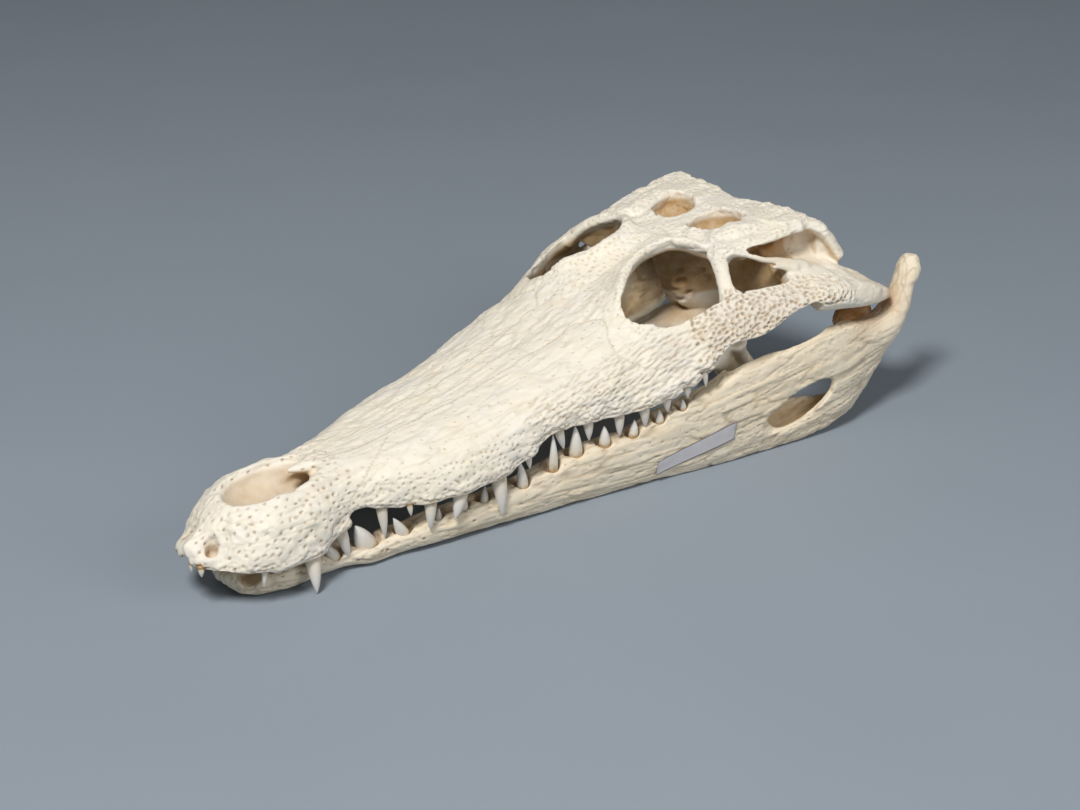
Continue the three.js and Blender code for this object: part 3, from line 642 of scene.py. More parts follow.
def jaw_section(station):
    """The closed [y, z] section of a jaw half. Its front part reaches the middle plane."""
    outer, top, bottom = jaw_outer(station), jaw_top(station), jaw_bottom(station)
    thick = 12 + 2 * np.clip((station - 250) / 15, 0, 1)
    inner = max(outer - thick, 0) * rise(station, 70, 78)
    width, height = outer - inner, top - bottom
    marks = np.array([
        (inner, top - height * 0.06), (inner + width * 0.35, top), (outer - width * 0.16, top),
        (outer, top - height * 0.2), (outer + 0.3, bottom + height * 0.5),
        (outer - width * 0.08, bottom + height * 0.18), (outer - width * 0.3, bottom),
        (inner + width * 0.35, bottom), (inner, bottom + height * 0.25)])
    n = len(marks)
    line = []
    for i in range(n):
        before, a, b, after = (marks[(i + j) % n] for j in (-1, 0, 1, 2))
        t = (np.arange(4) / 4)[:, None]
        straight = a + (b - a) * t
        line.append((catmull_rom(before, a, b, after, t) + straight) / 2)
    return np.concatenate(line)


def jaw_field():
    f = Field((12, -2, -3), (386, 84, 82))
    rings = []
    for station in np.concatenate([[16, 16.4, 17, 18], np.arange(19.5, 352, 1.5), [352]]):
        line = jaw_section(station)
        rings.append(np.column_stack([np.full(len(line), station), line]))
    f.add(Closed(rings))
    f.outer = f.d.copy()
    # the process behind the joint, the space between the jaw's plates with its inner door, and the joint
    f.add(strip([
        (334, 66, 41, 7, 10), (350, 69, 41.5, 8.5, 9.5), (362, 69, 49, 8, 7), (370, 68, 60, 6, 5.5),
        (374.6, 67.5, 69.5, 6, 5), (375.6, 67, 74.5, 3.5, 2.6)], up=(-1, 0, 0.3)), 2)
    f.cut(strip([
        (250, 56, 24, 2, 6), (268, 60, 27, 3, 14), (288, 63.5, 29, 3.8, 20), (306, 66.5, 32, 4, 21),
        (320, 68.5, 36, 4, 17), (328, 69.5, 40, 3, 10)], square=0.8), 1.5)
    f.cut(strip([
        (264, 50, 46, 6.5, 6), (278, 53.5, 42, 7, 15), (294, 57, 40, 7, 18.5), (310, 60, 37.5, 7, 19.5),
        (323, 62, 34.5, 7, 18), (334, 63, 36, 7, 15), (342, 63.5, 40, 5, 9)], square=0.6), 1.5)
    f.add(Ellipsoid((349, 55, 46), (13, 6, 9)), 3)
    f.cut(Ellipsoid((345, 62.5, 57), (14, 9, 9)), 2)
    # sockets, wide and deep in front, and empty ones between the front teeth
    for x, y, z, width, *_ in LOWER_TEETH:
        top = jaw_top(x)
        f.cut(Ellipsoid((x, y - 0.8, top), (width / 2 + 1.5, width / 2 + 0.9, top - z + 2.4)), 0.6)
    for socket in lumps([
            (24.5, 10.5, 12.5, 5.6, 5.6, 7), (47, 15.2, 12, 5, 4, 6), (21, 3, 12, 2.6, 2.4, 4)]):
        f.cut(socket, 0.8)
    # the window in the outer side
    f.cut(strip([(295, 66, 20.5, 21, 8), (295, 90, 20.5, 21, 8)], up=(-0.38, 0, 1)), 1)
    f.d = smoothed(f.d, 2)
    # clear of the cranium's joint, of the other half and of the floor
    f.keep_outside(quadrate(), 0.5)
    _, y, z = f.coordinates((0, 0, 0), f.n)
    f.d = np.maximum(np.maximum(f.d, F(0.3) - y), -z)
    return f


# ---------------------------------------------------------------- meshes


def make_mesh(name, points, faces, attributes):
    """A smooth-shaded mesh object from millimetres in the stations' frame."""
    mesh = bpy.data.meshes.new(name)
    co = np.clip(np.asarray(points, float), BOX_LOW, BOX_HIGH)
    co[:, 0] -= OVERALL_LENGTH / 2
    co *= 0.001
    per = faces.shape[1]
    mesh.vertices.add(len(co))
    mesh.vertices.foreach_set("co", co.astype(F).ravel())
    mesh.loops.add(faces.size)
    mesh.loops.foreach_set("vertex_index", faces.astype(np.int32).ravel())
    mesh.polygons.add(len(faces))
    mesh.polygons.foreach_set("loop_start", np.arange(0, faces.size, per, dtype=np.int32))
    mesh.update(calc_edges=True)
    mesh.validate()
    mesh.polygons.foreach_set("use_smooth", np.ones(len(faces), bool))
    for key, values in attributes.items():
        layer = mesh.attributes.new(key, "FLOAT", "POINT")
        layer.data.foreach_set("value", np.asarray(values, F))
    piece = bpy.data.objects.new(name, mesh)
    bpy.context.scene.collection.objects.link(piece)
    return piece


def normals_of(points, quads):
    a, b, c, d = (points[quads[:, i]] for i in range(4))
    n = np.cross(c - a, d - b)
    out = np.zeros_like(points)
    for i in range(4):
        for k in range(3):
            out[:, k] += np.bincount(quads[:, i], weights=n[:, k], minlength=len(points))
    return out / np.maximum(np.linalg.norm(out, axis=1, keepdims=True), 1e-9)


def relaxed(points, quads):
    """Points moved half-way to the mean of their neighbours, which evens out the steps of the grid."""
    total = np.zeros_like(points)
    count = np.zeros(len(points))
    for i in range(4):
        a, b = quads[:, i], quads[:, (i + 1) % 4]
        for k in range(3):
            total[:, k] += np.bincount(a, weights=points[b, k], minlength=len(points))
            total[:, k] += np.bincount(b, weights=points[a, k], minlength=len(points))
        count += np.bincount(a, minlength=len(points)) + np.bincount(b, minlength=len(points))
    return points + 0.5 * (total / np.maximum(count, 1)[:, None] - points)


# ---------------------------------------------------------------- the surface of the bone


def lattice_noise(points, size, seed):
    """Smooth values from -1 to 1, with features of about the size."""
    q = points / np.asarray(size, float) + seed * 13.7
    cell = np.floor(q).astype(np.int64)
    f = (q - cell).astype(F)
    f = f * f * (3 - 2 * f)
    total = np.zeros(len(points), F)
    for corner in range(8):
        step = np.array([corner & 1, corner >> 1 & 1, corner >> 2])
        n = (cell + step) @ np.array([73856093, 19349663, 83492791]) + seed * 971
        n = (n ^ (n >> 13)) * 1274126177 & 0xFFFFFFFF
        n = (n ^ (n >> 16)) * 2246822519 & 0xFFFFFFFF
        n ^= n >> 15
        weight = np.prod(np.where(step, f, 1 - f), axis=1)
        total += weight * (n.astype(F) / F(2147483648.0) - 1)
    return total


SKIN_REACH = 6  # a groove is left out where its path is farther from the skin


class Ornament:
    """Pits and grooves in a bone's skin, as depths at its vertices, with painted shade in the pits and dark
    seams along the lines.
    """

    def __init__(self, points, normals, skin):
        self.points, self.normals = points, normals
        self.index = np.flatnonzero(skin)
        self.tree = KDTree(len(self.index))
        for k, i in enumerate(self.index):
            self.tree.insert(points[i], k)
        self.tree.balance()
        self.depth = np.zeros(len(points), F)
        self.pit_shade_and_seam = np.zeros(len(points), F)

    def pit(self, centre, normal, along, long, wide, depth, pit_shade_and_seam, power=1.0):
        along = along - normal * (along @ normal)
        along = along / max(np.linalg.norm(along), 1e-6)
        across = np.cross(normal, along)
        found = self.tree.find_range(centre, max(long, wide) * 1.15)
        if not found:
            return
        where = self.index[[k for _, k, _ in found]]
        off = self.points[where] - centre
        r = ((off @ along) / long) ** 2 + ((off @ across) / wide) ** 2
        shape = np.clip(1 - r, 0, 1) ** power
        self.depth[where] = np.maximum(self.depth[where], shape * depth)
        # painted shade in a pit, and a seam's own dark along a line
        self.pit_shade_and_seam[where] = np.maximum(self.pit_shade_and_seam[where], shape * pit_shade_and_seam)

    def scatter(self, chance, spacing, long, wide, depth, pit_shade_and_seam, along, seed, power=1.0, sway=0.3):
        """Pits about the spacing apart, where the chance at a vertex allows one.

        Long and wide are half-lengths, along is the way that the pits point, and sway is how much they differ
        in it.
        """
        rng = np.random.default_rng(seed)
        pick = self.index[rng.random(len(self.index)) < chance[self.index]]
        rng.shuffle(pick)
        taken = np.zeros(len(self.points), bool)
        for i in pick:
            if taken[i]:
                continue
            near = spacing * rng.uniform(0.85, 1.3)
            for _, k, _ in self.tree.find_range(self.points[i], near):
                taken[self.index[k]] = True
            grow = rng.uniform(0.65, 1.25)
            heading = np.array(along, float) + rng.normal(0, sway, 3)
            self.pit(self.points[i], self.normals[i], heading, long * grow, wide * rng.uniform(0.75, 1.15),
                     depth * rng.uniform(0.5, 1.15), pit_shade_and_seam * rng.uniform(0.5, 1), power)

    def line(self, knots, width, depth, pit_shade_and_seam, seed, wander=0.5):
        """A groove on the skin nearest to a chain of [station, y, z] points."""
        path = spline(knots, 0.7)
        rng = np.random.default_rng(seed)
        drift = np.cumsum(rng.normal(0, 0.22, (len(path), 3)), axis=0)
        drift -= np.linspace(0, 1, len(path))[:, None] * drift[-1]
        path = path + np.clip(drift, -wander, wander) + rng.normal(0, 0.08, (len(path), 3))
        for p in path:
            _, k, distance = self.tree.find(p)
            if distance < SKIN_REACH:
                i = self.index[k]
                self.pit(self.points[i], self.normals[i], np.array([1.0, 0.1, 0.1]), width, width,
                         depth * rng.uniform(0.5, 1), pit_shade_and_seam, 0.8)


def hollowness(field, mirror, points, normals):
    """How far bone closes each point in, which also sets the painted shade in hollows: about 0 on the
    outside, 1 in narrow depths.
    """
    coarse, rounds, look = 2.4, 14, 7
    every = max(int(round(coarse / field.h)), 1)
    solid = (field.d[::every, ::every, ::every] < 0).astype(F)
    step, lo = field.h * every, field.lo.copy()
    if mirror:
        solid = np.concatenate([solid[:, :0:-1, :], solid], axis=1)
        lo[1] -= step * (solid.shape[1] // 2)
    return trilinear(smoothed(solid, rounds), lo, step, points + normals * look)


def fold(points):
    """Points of the left side carried over to the right one."""
    return points * [1, 0, 1] + np.abs(points) * [0, 1, 0]


def blobs(points, spots):
    """The strongest of several soft spots: each has a centre on the right, three reaches and a strength."""
    folded = fold(points)
    out = np.zeros(len(points), F)
    for *place, strength in spots:
        r = (((folded - place[:3]) / place[3:]) ** 2).sum(1)
        out = np.maximum(out, strength * np.exp(-1.2 * r).astype(F))
    return out


def grooves(points, size, seed, width=0.16):
    """Long thin lines, 1 in their middles, where smooth values change sign."""
    return np.clip(1 - np.abs(lattice_noise(points, size, seed)) / width, 0, 1).astype(F)


# grooves between the bones: [station, y, z] along each, its width and depth, how far it wanders, and a seed
SUTURES = [
    ([(64, 2.6, 45), (86, 5, 47), (112, 6.6, 50), (146, 8.6, 56), (180, 11, 63), (206, 14, 71)],
     0.62, 0.4, 0.5, 21),
    ([(66, 24, 31), (74, 21, 38), (88, 14, 44), (100, 7.5, 48)], 0.6, 0.35, 0.9, 25),
    ([(206, 14, 71), (213, 24, 72), (206, 36, 64), (214, 46, 58), (232, 56, 55)], 0.6, 0.35, 0.9, 29),
    ([(262, 16, 96), (268, 9, 97), (272, 0, 97)], 0.6, 0.3, 0.5, 33),
    ([(314, 40, 97), (308, 27, 98), (314, 17, 99), (322, 14, 98)], 0.6, 0.3, 0.5, 37)]


def finish_cranium(field, points, quads):
    """The sculpted points, and how pitted, closed in and stained each of them is; the pits and the closed-in
    places carry painted shade.
    """
    normals = normals_of(points, quads)
    folded = fold(points)
    station, aside, z = folded.T
    up, out = normals[:, 2], normals[:, 1] * np.sign(points[:, 1])
    tan_and_shade = hollowness(field, True, points, normals)
    skin = (np.abs(field.sample(folded, field.outer)) < 2.6) & (up > -0.45) & (tan_and_shade < 0.42)
    skin |= (station > 318) & (tan_and_shade < 0.3) & (up > -0.3)
    skin |= (station > 262) & (z > 91) & (up > 0.1) & (aside > 15)
    skin &= ~((station > 50) & (station < 62) & (aside < 2.5))
    low = edge_height(station)
    high = np.where(station < 215, ridge_height(station), cheek_height(station))
    level = (z - low) / (high - low)
    o = Ornament(points, normals, skin)
    cheek = skin & (out > 0.15) & (z < high + 1.5)
    outer = aside > 0.72 * cheek_half_width(station)
    jugal = 0.3 * cheek * rise(station, 236, 250) * (1 - rise(station, 300, 327)) * outer
    o.scatter(jugal, 2.0, 1.6, 0.95, 1.45, 1.0, (1, 0, 0.25), 11, power=0.8, sway=0.5)
    o.scatter(0.5 * jugal, 1.5, 0.7, 0.55, 0.7, 0.5, (1, 0, 0.2), 19)
    table = 0.25 * skin * (up > 0.45) * rise(station, 214, 240) * (aside < 44)
    o.scatter(table, 2.1, 0.9, 0.8, 0.6, 0.5, (1, 0, 0), 12, sway=1)
    wrinkles = 0.2 * cheek * rise(station, 150, 180) * (1 - rise(station, 240, 262)) * (level < 0.8)
    o.scatter(wrinkles, 2.2, 3.0, 0.75, 0.8, 0.42, (1, 0, 0.3), 13, sway=0.12)
    dots = 0.16 * cheek * rise(station, 62, 80) * (1 - rise(station, 175, 200)) * (level < 0.62)
    o.scatter(dots, 2.3, 0.8, 0.62, 0.75, 0.8, (1, 0, 0.2), 14, sway=0.3)
    front = 0.12 * skin * (station < 74) * (station > 3)
    o.scatter(front, 3.0, 1.2, 0.65, 0.9, 0.95, (1, 0.1, 0.3), 15, sway=0.25)
    o.scatter(0.02 * skin * (station > 60) * (station < 225), 4.5, 0.62, 0.55, 0.6, 0.85, (1, 0, 0), 16)
    margin = 0.3 * skin * (level < 0.16) * (station < 240)
    o.scatter(margin, 1.9, 1.7, 0.7, 0.62, 0.4, (1, 0, 0.1), 17, sway=0.35)
    for side in (1, -1):
        for knots, width, depth, wander, seed in SUTURES:
            o.line([(x, y * side, h) for x, y, h in knots], width, depth, depth, seed + side, wander)
    o.line([(66, 0, 46), (120, 0.4, 50.5), (160, -0.4, 58), (206, 0, 72)], 0.6, 0.35, 0.35, 41)

    # relief all over, stronger on the table and at the snout's tip, and streaks along the snout
    rough = np.where(skin, 1, 0.45) * (1 + 1.3 * rise(station, 258, 275) * (z > 92) * (aside > 8))
    rough = rough * (1 + 0.5 * (1 - rise(station, 66, 84)))
    snout = skin * rise(station, 70, 110) * (1 - rise(station, 225, 250))
    relief = 0.42 * lattice_noise(points, 8.5, 1) + 0.34 * lattice_noise(points, (7, 3.4, 3.4), 2)
    relief += 0.13 * lattice_noise(points, 1.7, 3) + 0.16 * lattice_noise(points, (4, 2.4, 2.4), 12)
    relief += 0.3 * snout * lattice_noise(points, (13, 2.2, 2.8), 21)
    streaks = grooves(points, (17, 2.6, 3.2), 4) * skin * (1 - rise(station, 236, 255) * (z < 90))
    streaks += grooves(points, (10, 2, 2), 5) * (station > 322)
    depth = o.depth + 0.3 * streaks - relief * rough
    # painted shade in the pits, dark seams between the bones, and darker along the streaks
    pit = np.clip(o.pit_shade_and_seam + 0.16 * streaks * (station < 236), 0, 1)
    # tan inner bone with painted shade: what bone closes in, what lies under the outer surface, and some
    # inner walls are darker
    inside = rise(-field.sample(folded, field.outer), 2.2, 4.8) * (1 - 0.5 * (station < 72) * (z > 32))
    walls = blobs(points, [
        (303, 46, 85, 16, 7, 5.5, 0.75), (322, 48, 83, 14, 7, 5.5, 0.6), (282, 4, 50, 22, 14, 7, 0.85),
        (302, 25, 52, 16, 15, 7, 0.8), (270, 46, 42, 12, 8, 12, 0.75), (290, 28, 36, 18, 20, 8, 0.5),
        (338, 62, 68, 22, 14, 8, 0.25), (274, 65, 68, 40, 16, 12, 0.26), (302, 36, 77, 9, 13, 9, 1)])
    closed = np.maximum(np.maximum(rise(tan_and_shade, 0.22, 0.6), inside), walls * (z < 92))
    stain = blobs(points, [
        (350, 66, 58, 14, 13, 6, 1), (352, 72, 62, 6, 5, 4, 0.5), (306, 35, 87, 18, 9, 5.5, 1),
        (279, 9, 68, 4, 6, 4, 0.9), (291, 15, 67, 5, 6, 4, 0.9), (284, 10, 61, 4, 6, 3, 0.7),
        (226, 55, 62, 3.4, 4, 5.5, 0.4), (229, 53, 66, 3, 4, 2.4, 0.35), (303, 18, 89, 4, 4, 4, 0.45),
        (41, 0, 34, 16, 9, 6, 0.25), (8.7, 7.5, 23, 3.8, 3.8, 4.5, 0.8), (300, 12, 88, 8, 6, 3, 0.35)])
    stain *= 0.6 + 0.4 * rise(lattice_noise(points, 3, 6), -0.5, 0.5)
    # the teeth's sockets are brown inside
    sockets = blobs(points, [(x, y - 0.5, h, w / 2 + 2, w / 2 + 1.5, 4, 0.7)
                             for x, y, h, w, *_ in UPPER_TEETH]) * (up < -0.1)
    stain = np.maximum(stain, sockets)
    # the skin moves in by its depths, inside the bone's old outline
    moved = points - normals * np.clip(depth, -0.9, 1.7)[:, None]
    inset = np.array([0.1, 0.1, 0])
    points = np.clip(moved, points.min(0) + inset, points.max(0) - inset)
    return points, {"pit": pit, "tan_and_shade": closed, "stain": stain}


def finish_jaw(field, points, quads):
    """The same as finish_cranium, for the right half of the lower jaw."""
    normals = normals_of(points, quads)
    station, aside, z = points.T
    out = normals[:, 1]
    tan_and_shade = hollowness(field, False, points, normals)
    skin = (np.abs(field.sample(points, field.outer)) < 2) & (out > -0.3) & (tan_and_shade < 0.4)
    level = (z - jaw_bottom(station)) / (jaw_top(station) - jaw_bottom(station))
    o = Ornament(points, normals, skin)
    side = skin & (out > 0.2)
    o.scatter(0.1 * side * (1 - rise(station, 60, 130)), 3, 1.3, 0.55, 0.45, 0.5, (1, 0, 0.15), 51)
    rear_half = 0.05 * side * (station > 110) * (station < 345)
    o.scatter(rear_half, 6, 2.2, 0.5, 0.4, 0.4, (1, 0, 0.2), 52, sway=0.12)
    o.scatter(0.03 * side * (level > 0.6) * (station < 240), 7, 0.7, 0.6, 0.7, 0.95, (1, 0, 0), 53)
    lower_rear = 0.12 * side * rise(station, 255, 290) * (level < 0.42)
    o.scatter(lower_rear, 3.4, 1.6, 0.6, 0.5, 0.45, (1, 0, 0.3), 54)
    # four deeper pits in the side, dark with painted shade
    for place, height in ((83.5, 6), (70, 4.5), (100, 7), (124, 9)):
        hit = np.argmin(((points - (place, jaw_outer(place), height)) ** 2).sum(1))
        o.pit(points[hit], normals[hit], np.array([1.0, 0, 0]), 0.9, 0.75, 1.0, 1.0)
    # the grain of the bone climbs towards the rear
    bent = points + np.array([0, 0, 1]) * (-0.16 * (station - 240) * (station > 240))[:, None]
    streaks = grooves(bent, (44, 5, 3.2), 7, 0.16) + 0.7 * grooves(bent, (26, 3, 1.9), 8, 0.15)
    streaks *= (out > -0.2) | (station > 330)
    rear_end = rise(station, 350, 362)
    streaks = streaks * (1 - rear_end) + rear_end * grooves(points, (2.4, 3, 16), 9, 0.2)
    relief = 0.34 * lattice_noise(points, (15, 7, 7), 9) + 0.2 * lattice_noise(points, (6, 2.6, 2.2), 10)
    relief += 0.36 * lattice_noise(bent, (24, 5, 2.6), 22) * (out > 0) + 0.09 * lattice_noise(points, 1.5, 13)
    depth = np.clip(o.depth + 0.42 * streaks - relief, -0.8, 1.5)
    # painted shade in the pits, and darker along the streaks
    pit = np.clip(o.pit_shade_and_seam + 0.34 * streaks, 0, 1)
    # tan inner bone with painted shade, darker where bone closes in and under the outer surface
    closed = np.maximum(rise(tan_and_shade, 0.2, 0.55), 0.8 * rise(-field.sample(points, field.outer), 2, 4.6))
    # brown round the teeth, most on their inner side, and in the joint
    shelf = blobs(points, [(x, y - 0.8, jaw_top(x) - 1, w / 2 + 4.5, w / 2 + 2.4, 4.4, 0.62)
                           for x, y, _, w, *_ in LOWER_TEETH])
    within = np.where(aside < jaw_outer(station) - 2.2, 1, 0.15)
    shelf *= within * (0.55 + 0.45 * rise(lattice_noise(points, 3.4, 11), -0.4, 0.4))
    joint = blobs(points, [
        (340, 60, 52, 14, 12, 9, 1), (350, 57, 49, 15, 9, 11, 1), (356, 66, 58, 10, 10, 8, 0.85)])
    stain = np.clip(np.maximum(shelf, joint * 1.25), 0, 1)
    moved = points - normals * depth[:, None]
    points = np.clip(moved, points.min(0) + [0.1, 0, 0], points.max(0) - [0.1, 0.1, 0.1])
    return points, {"pit": pit, "tan_and_shade": closed, "stain": stain}


# ---------------------------------------------------------------- materials


class Nodes:
    """A material's node tree, built by short calls that pass sockets along."""

    def __init__(self, name):
        self.material = bpy.data.materials.new(name)
        self.material.use_nodes = True
        self.tree = self.material.node_tree
        self.shader = self.tree.nodes["Principled BSDF"]

    def add(self, kind, sockets=(), output=0, **settings):
        node = self.tree.nodes.new("ShaderNode" + kind)
        for key, value in settings.items():
            setattr(node, key, value)
        for key, value in dict(sockets).items():
            self.plug(value, node.inputs[key])
        return node.outputs[output]

    def plug(self, value, socket):
        if isinstance(value, bpy.types.NodeSocket):
            self.tree.links.new(value, socket)
        else:
            socket.default_value = (*value, 1) if len(np.shape(value)) and socket.type == "RGBA" else value

    def place(self):
        return self.add("TexCoord", output="Object")

    def attribute(self, name):
        return self.add("Attribute", output="Fac", attribute_name=name)

    def stretched(self, x, y, z):
        return self.add("Mapping", {"Vector": self.place(), "Scale": (x, y, z)})

    def noise(self, scale, detail=4, roughness=0.6, vector=None, twist=0.0):
        return self.add("TexNoise", {"Vector": vector or self.place(), "Scale": scale, "Detail": detail,
                                     "Roughness": roughness, "Distortion": twist})

    def span(self, value, low, high, to_low=0.0, to_high=1.0):
        return self.add("MapRange", {0: value, 1: low, 2: high, 3: to_low, 4: to_high})

    def times(self, a, b):
        return self.add("Math", {0: a, 1: b}, operation="MULTIPLY")

    def plus(self, a, b):
        return self.add("Math", {0: a, 1: b}, operation="ADD")

    def mix(self, factor, a, b):
        return self.add("Mix", {0: factor, 6: a, 7: b}, output=2, data_type="RGBA")

    def bump(self, height, distance, strength, normal=None):
        sockets = {"Height": height, "Distance": distance, "Strength": strength}
        if normal is not None:
            sockets["Normal"] = normal
        return self.add("Bump", sockets)

    def done(self, colour, roughness, normal, **numbers):
        self.plug(colour, self.shader.inputs["Base Color"])
        self.plug(roughness, self.shader.inputs["Roughness"])
        self.plug(normal, self.shader.inputs["Normal"])
        for key, value in numbers.items():
            self.shader.inputs[key.replace("_", " ")].default_value = value
        return self.material


def bone_material(name, warm, cool, tan):
    """Bone with clouds of colour, brown stains, tan-brown hollows with painted shade, pits dark with painted
    shade, dark seams and fine pores.
    """
    n = Nodes(name)
    clouds = n.noise(38, 3, 0.55)
    patches = n.noise(120, 5, 0.65, twist=0.4)
    grain = n.noise(300, 3, 0.6, n.stretched(0.16, 1, 1))
    speckle = n.noise(1500, 2, 0.5)
    colour = n.mix(n.span(clouds, 0.35, 0.68), warm, cool)
    colour = n.mix(n.span(patches, 0.52, 0.78, 0, 0.45), colour, tan)
    colour = n.mix(n.span(grain, 0.55, 0.8, 0, 0.3), colour, tan)
    colour = n.mix(n.span(speckle, 0.6, 0.85, 0, 0.25), colour, (0.55, 0.43, 0.28))
    tan_and_shade, stain, pit = (n.attribute(key) for key in ("tan_and_shade", "stain", "pit"))
    mottle = n.span(n.noise(210, 4, 0.6), 0.3, 0.7, 0.75, 1.15)
    # tan inner bone with painted shade where bone closes it in
    colour = n.mix(n.times(tan_and_shade, n.times(mottle, 0.92)), colour, (0.50, 0.33, 0.15))
    brown = n.mix(n.span(n.noise(420, 3), 0.35, 0.65), (0.36, 0.15, 0.035), (0.5, 0.27, 0.09))
    colour = n.mix(n.times(stain, mottle), colour, brown)
    # painted shade in the pits, dark seams, and darker streaks
    colour = n.mix(n.times(pit, 0.95), colour, (0.30, 0.2, 0.1))
    fine = n.noise(2600, 3, 0.6)
    cells = n.add("TexVoronoi", {"Vector": n.place(), "Scale": 900})
    pores = n.span(cells, 0.0, 0.28)
    porous = n.mix(n.span(n.noise(90, 2), 0.45, 0.6), (1, 1, 1), pores)
    height = n.plus(n.times(fine, 0.35), n.times(grain, 0.9))
    normal = n.bump(height, 0.00032, 0.8, n.bump(porous, 0.00009, 0.6))
    shine = n.plus(n.span(patches, 0.3, 0.75, 0.46, 0.62), n.times(pit, 0.18))
    return n.done(colour, shine, normal, Specular_IOR_Level=0.4)


def ivory_material():
    """Teeth, brown at the socket, white above it and grey at the tip, with fine lengthwise cracks."""
    n = Nodes("ivory")
    level = n.attribute("level")
    long_grain = n.noise(1100, 3, 0.55, n.stretched(1, 1, 0.1))
    edge = n.plus(level, n.span(n.noise(500, 3), 0.3, 0.7, -0.09, 0.09))
    colour = n.mix(n.span(edge, -0.04, 0.2), (0.46, 0.28, 0.11), (0.80, 0.72, 0.58))
    colour = n.mix(n.span(edge, 0.16, 0.6), colour, (0.80, 0.765, 0.71))
    colour = n.mix(n.span(long_grain, 0.5, 0.78, 0, 0.35), colour, (0.66, 0.60, 0.52))
    colour = n.mix(n.span(edge, 0.72, 1.0, 0, 0.5), colour, (0.70, 0.70, 0.70))
    cracks = n.span(n.noise(650, 2, 0.5, n.stretched(1, 1, 0.07), twist=0.6), 0.49, 0.51)
    height = n.plus(n.times(long_grain, 0.8), n.times(cracks, 0.12))
    shine = n.span(n.noise(260, 3), 0.3, 0.7, 0.2, 0.34)
    return n.done(colour, shine, n.bump(height, 0.00012, 0.6), Subsurface_Weight=0.12,
                  Subsurface_Radius=(0.8, 0.7, 0.6), Subsurface_Scale=0.0014, Coat_Weight=0.15)


def paper_material():
    n = Nodes("paper")
    fibres = n.noise(2400, 4, 0.7, twist=0.8)
    clouds = n.noise(130, 3)
    colour = n.mix(n.span(clouds, 0.35, 0.7), (0.56, 0.545, 0.58), (0.62, 0.61, 0.63))
    colour = n.mix(n.span(fibres, 0.5, 0.8, 0, 0.5), colour, (0.5, 0.48, 0.5))
    colour = n.mix(n.attribute("rim"), colour, (0.07, 0.07, 0.085))
    return n.done(colour, n.span(fibres, 0.3, 0.7, 0.6, 0.78), n.bump(fibres, 0.00006, 0.7))


def floor_material():
    n = Nodes("floor_grey")
    tone = n.noise(3, 3)
    tooth = n.noise(900, 3)
    colour = n.mix(n.span(tone, 0.3, 0.7), (0.27, 0.315, 0.37), (0.29, 0.335, 0.39))
    return n.done(colour, n.span(tooth, 0.3, 0.7, 0.62, 0.72), n.bump(tooth, 0.00004, 0.4))


# ---------------------------------------------------------------- teeth


ROOT = 0.25  # a root's share of its crown's length, in the levels along a tooth


def crown(station, side, height, width, *tip):
    """One tooth as rings, from inside its socket to its tip: a cone that curves and has two keels."""
    base, tip = np.array((station, side, height), float), np.array(tip, float)
    length = np.linalg.norm(tip - base)
    along = (tip - base) / length
    middle = (base + tip) / 2 + np.array([-0.02, 0.07, 0]) * length
    tall = abs(height - tip[2]) > 9 or height > 20
    root = base - along * (1.2 if width < 4 else 4.5 if tall else 2.5)
    across = np.array([1, 0, -along[0] / (along[2] or 1)])
    across /= np.linalg.norm(across)
    aside = np.cross(along, across)
    angle = 2 * np.pi * (np.arange(28) + 0.5) / 28
    keel = 1 + 0.05 * np.abs(np.cos(angle)) ** 12
    outline = (np.cos(angle) * keel)[:, None] * across + 0.9 * np.sin(angle)[:, None] * aside
    rings, level = [], np.linspace(-ROOT, 1, 26)
    for t in level:
        if t < 0:
            centre = base + (root - base) * (-t / ROOT)
        else:
            centre = base * (1 - t) ** 2 + 2 * middle * t * (1 - t) + tip * t**2
        taper = max(1 - max(t, 0) ** 1.8, 0) ** 0.85
        size = 0.5 * width * taper * (1 - 0.08 * min(t + ROOT, ROOT) / ROOT)
        rings.append(centre + max(size, 0.12 if t < 1 else 0.05) * outline)
    return np.array(rings), np.repeat(level, len(angle))


def teeth(name, places, sides, left_only=0):
    """The teeth of one bone as one mesh. Their level runs from 0 at the socket to 1 at the tip."""
    points, faces, levels, base = [], [], [], 0
    for side in sides:
        for place in places[0 if side < 0 else left_only:]:
            rings, level = crown(*place)
            rows, per, _ = rings.shape
            k = np.arange(per // 2 - 1)
            cap = np.stack([k, k + 1, per - 2 - k, per - 1 - k], -1)
            quads = np.concatenate([ring_quads(rows, per), cap[:, ::-1], cap + (rows - 1) * per])
            faces.append(quads[:, ::side] + base)
            points.append(rings.reshape(-1, 3) * [1, side, 1])
            levels.append(level)
            base += rows * per
    return make_mesh(name, np.concatenate(points), np.concatenate(faces), {"level": np.concatenate(levels)})


# ---------------------------------------------------------------- the label


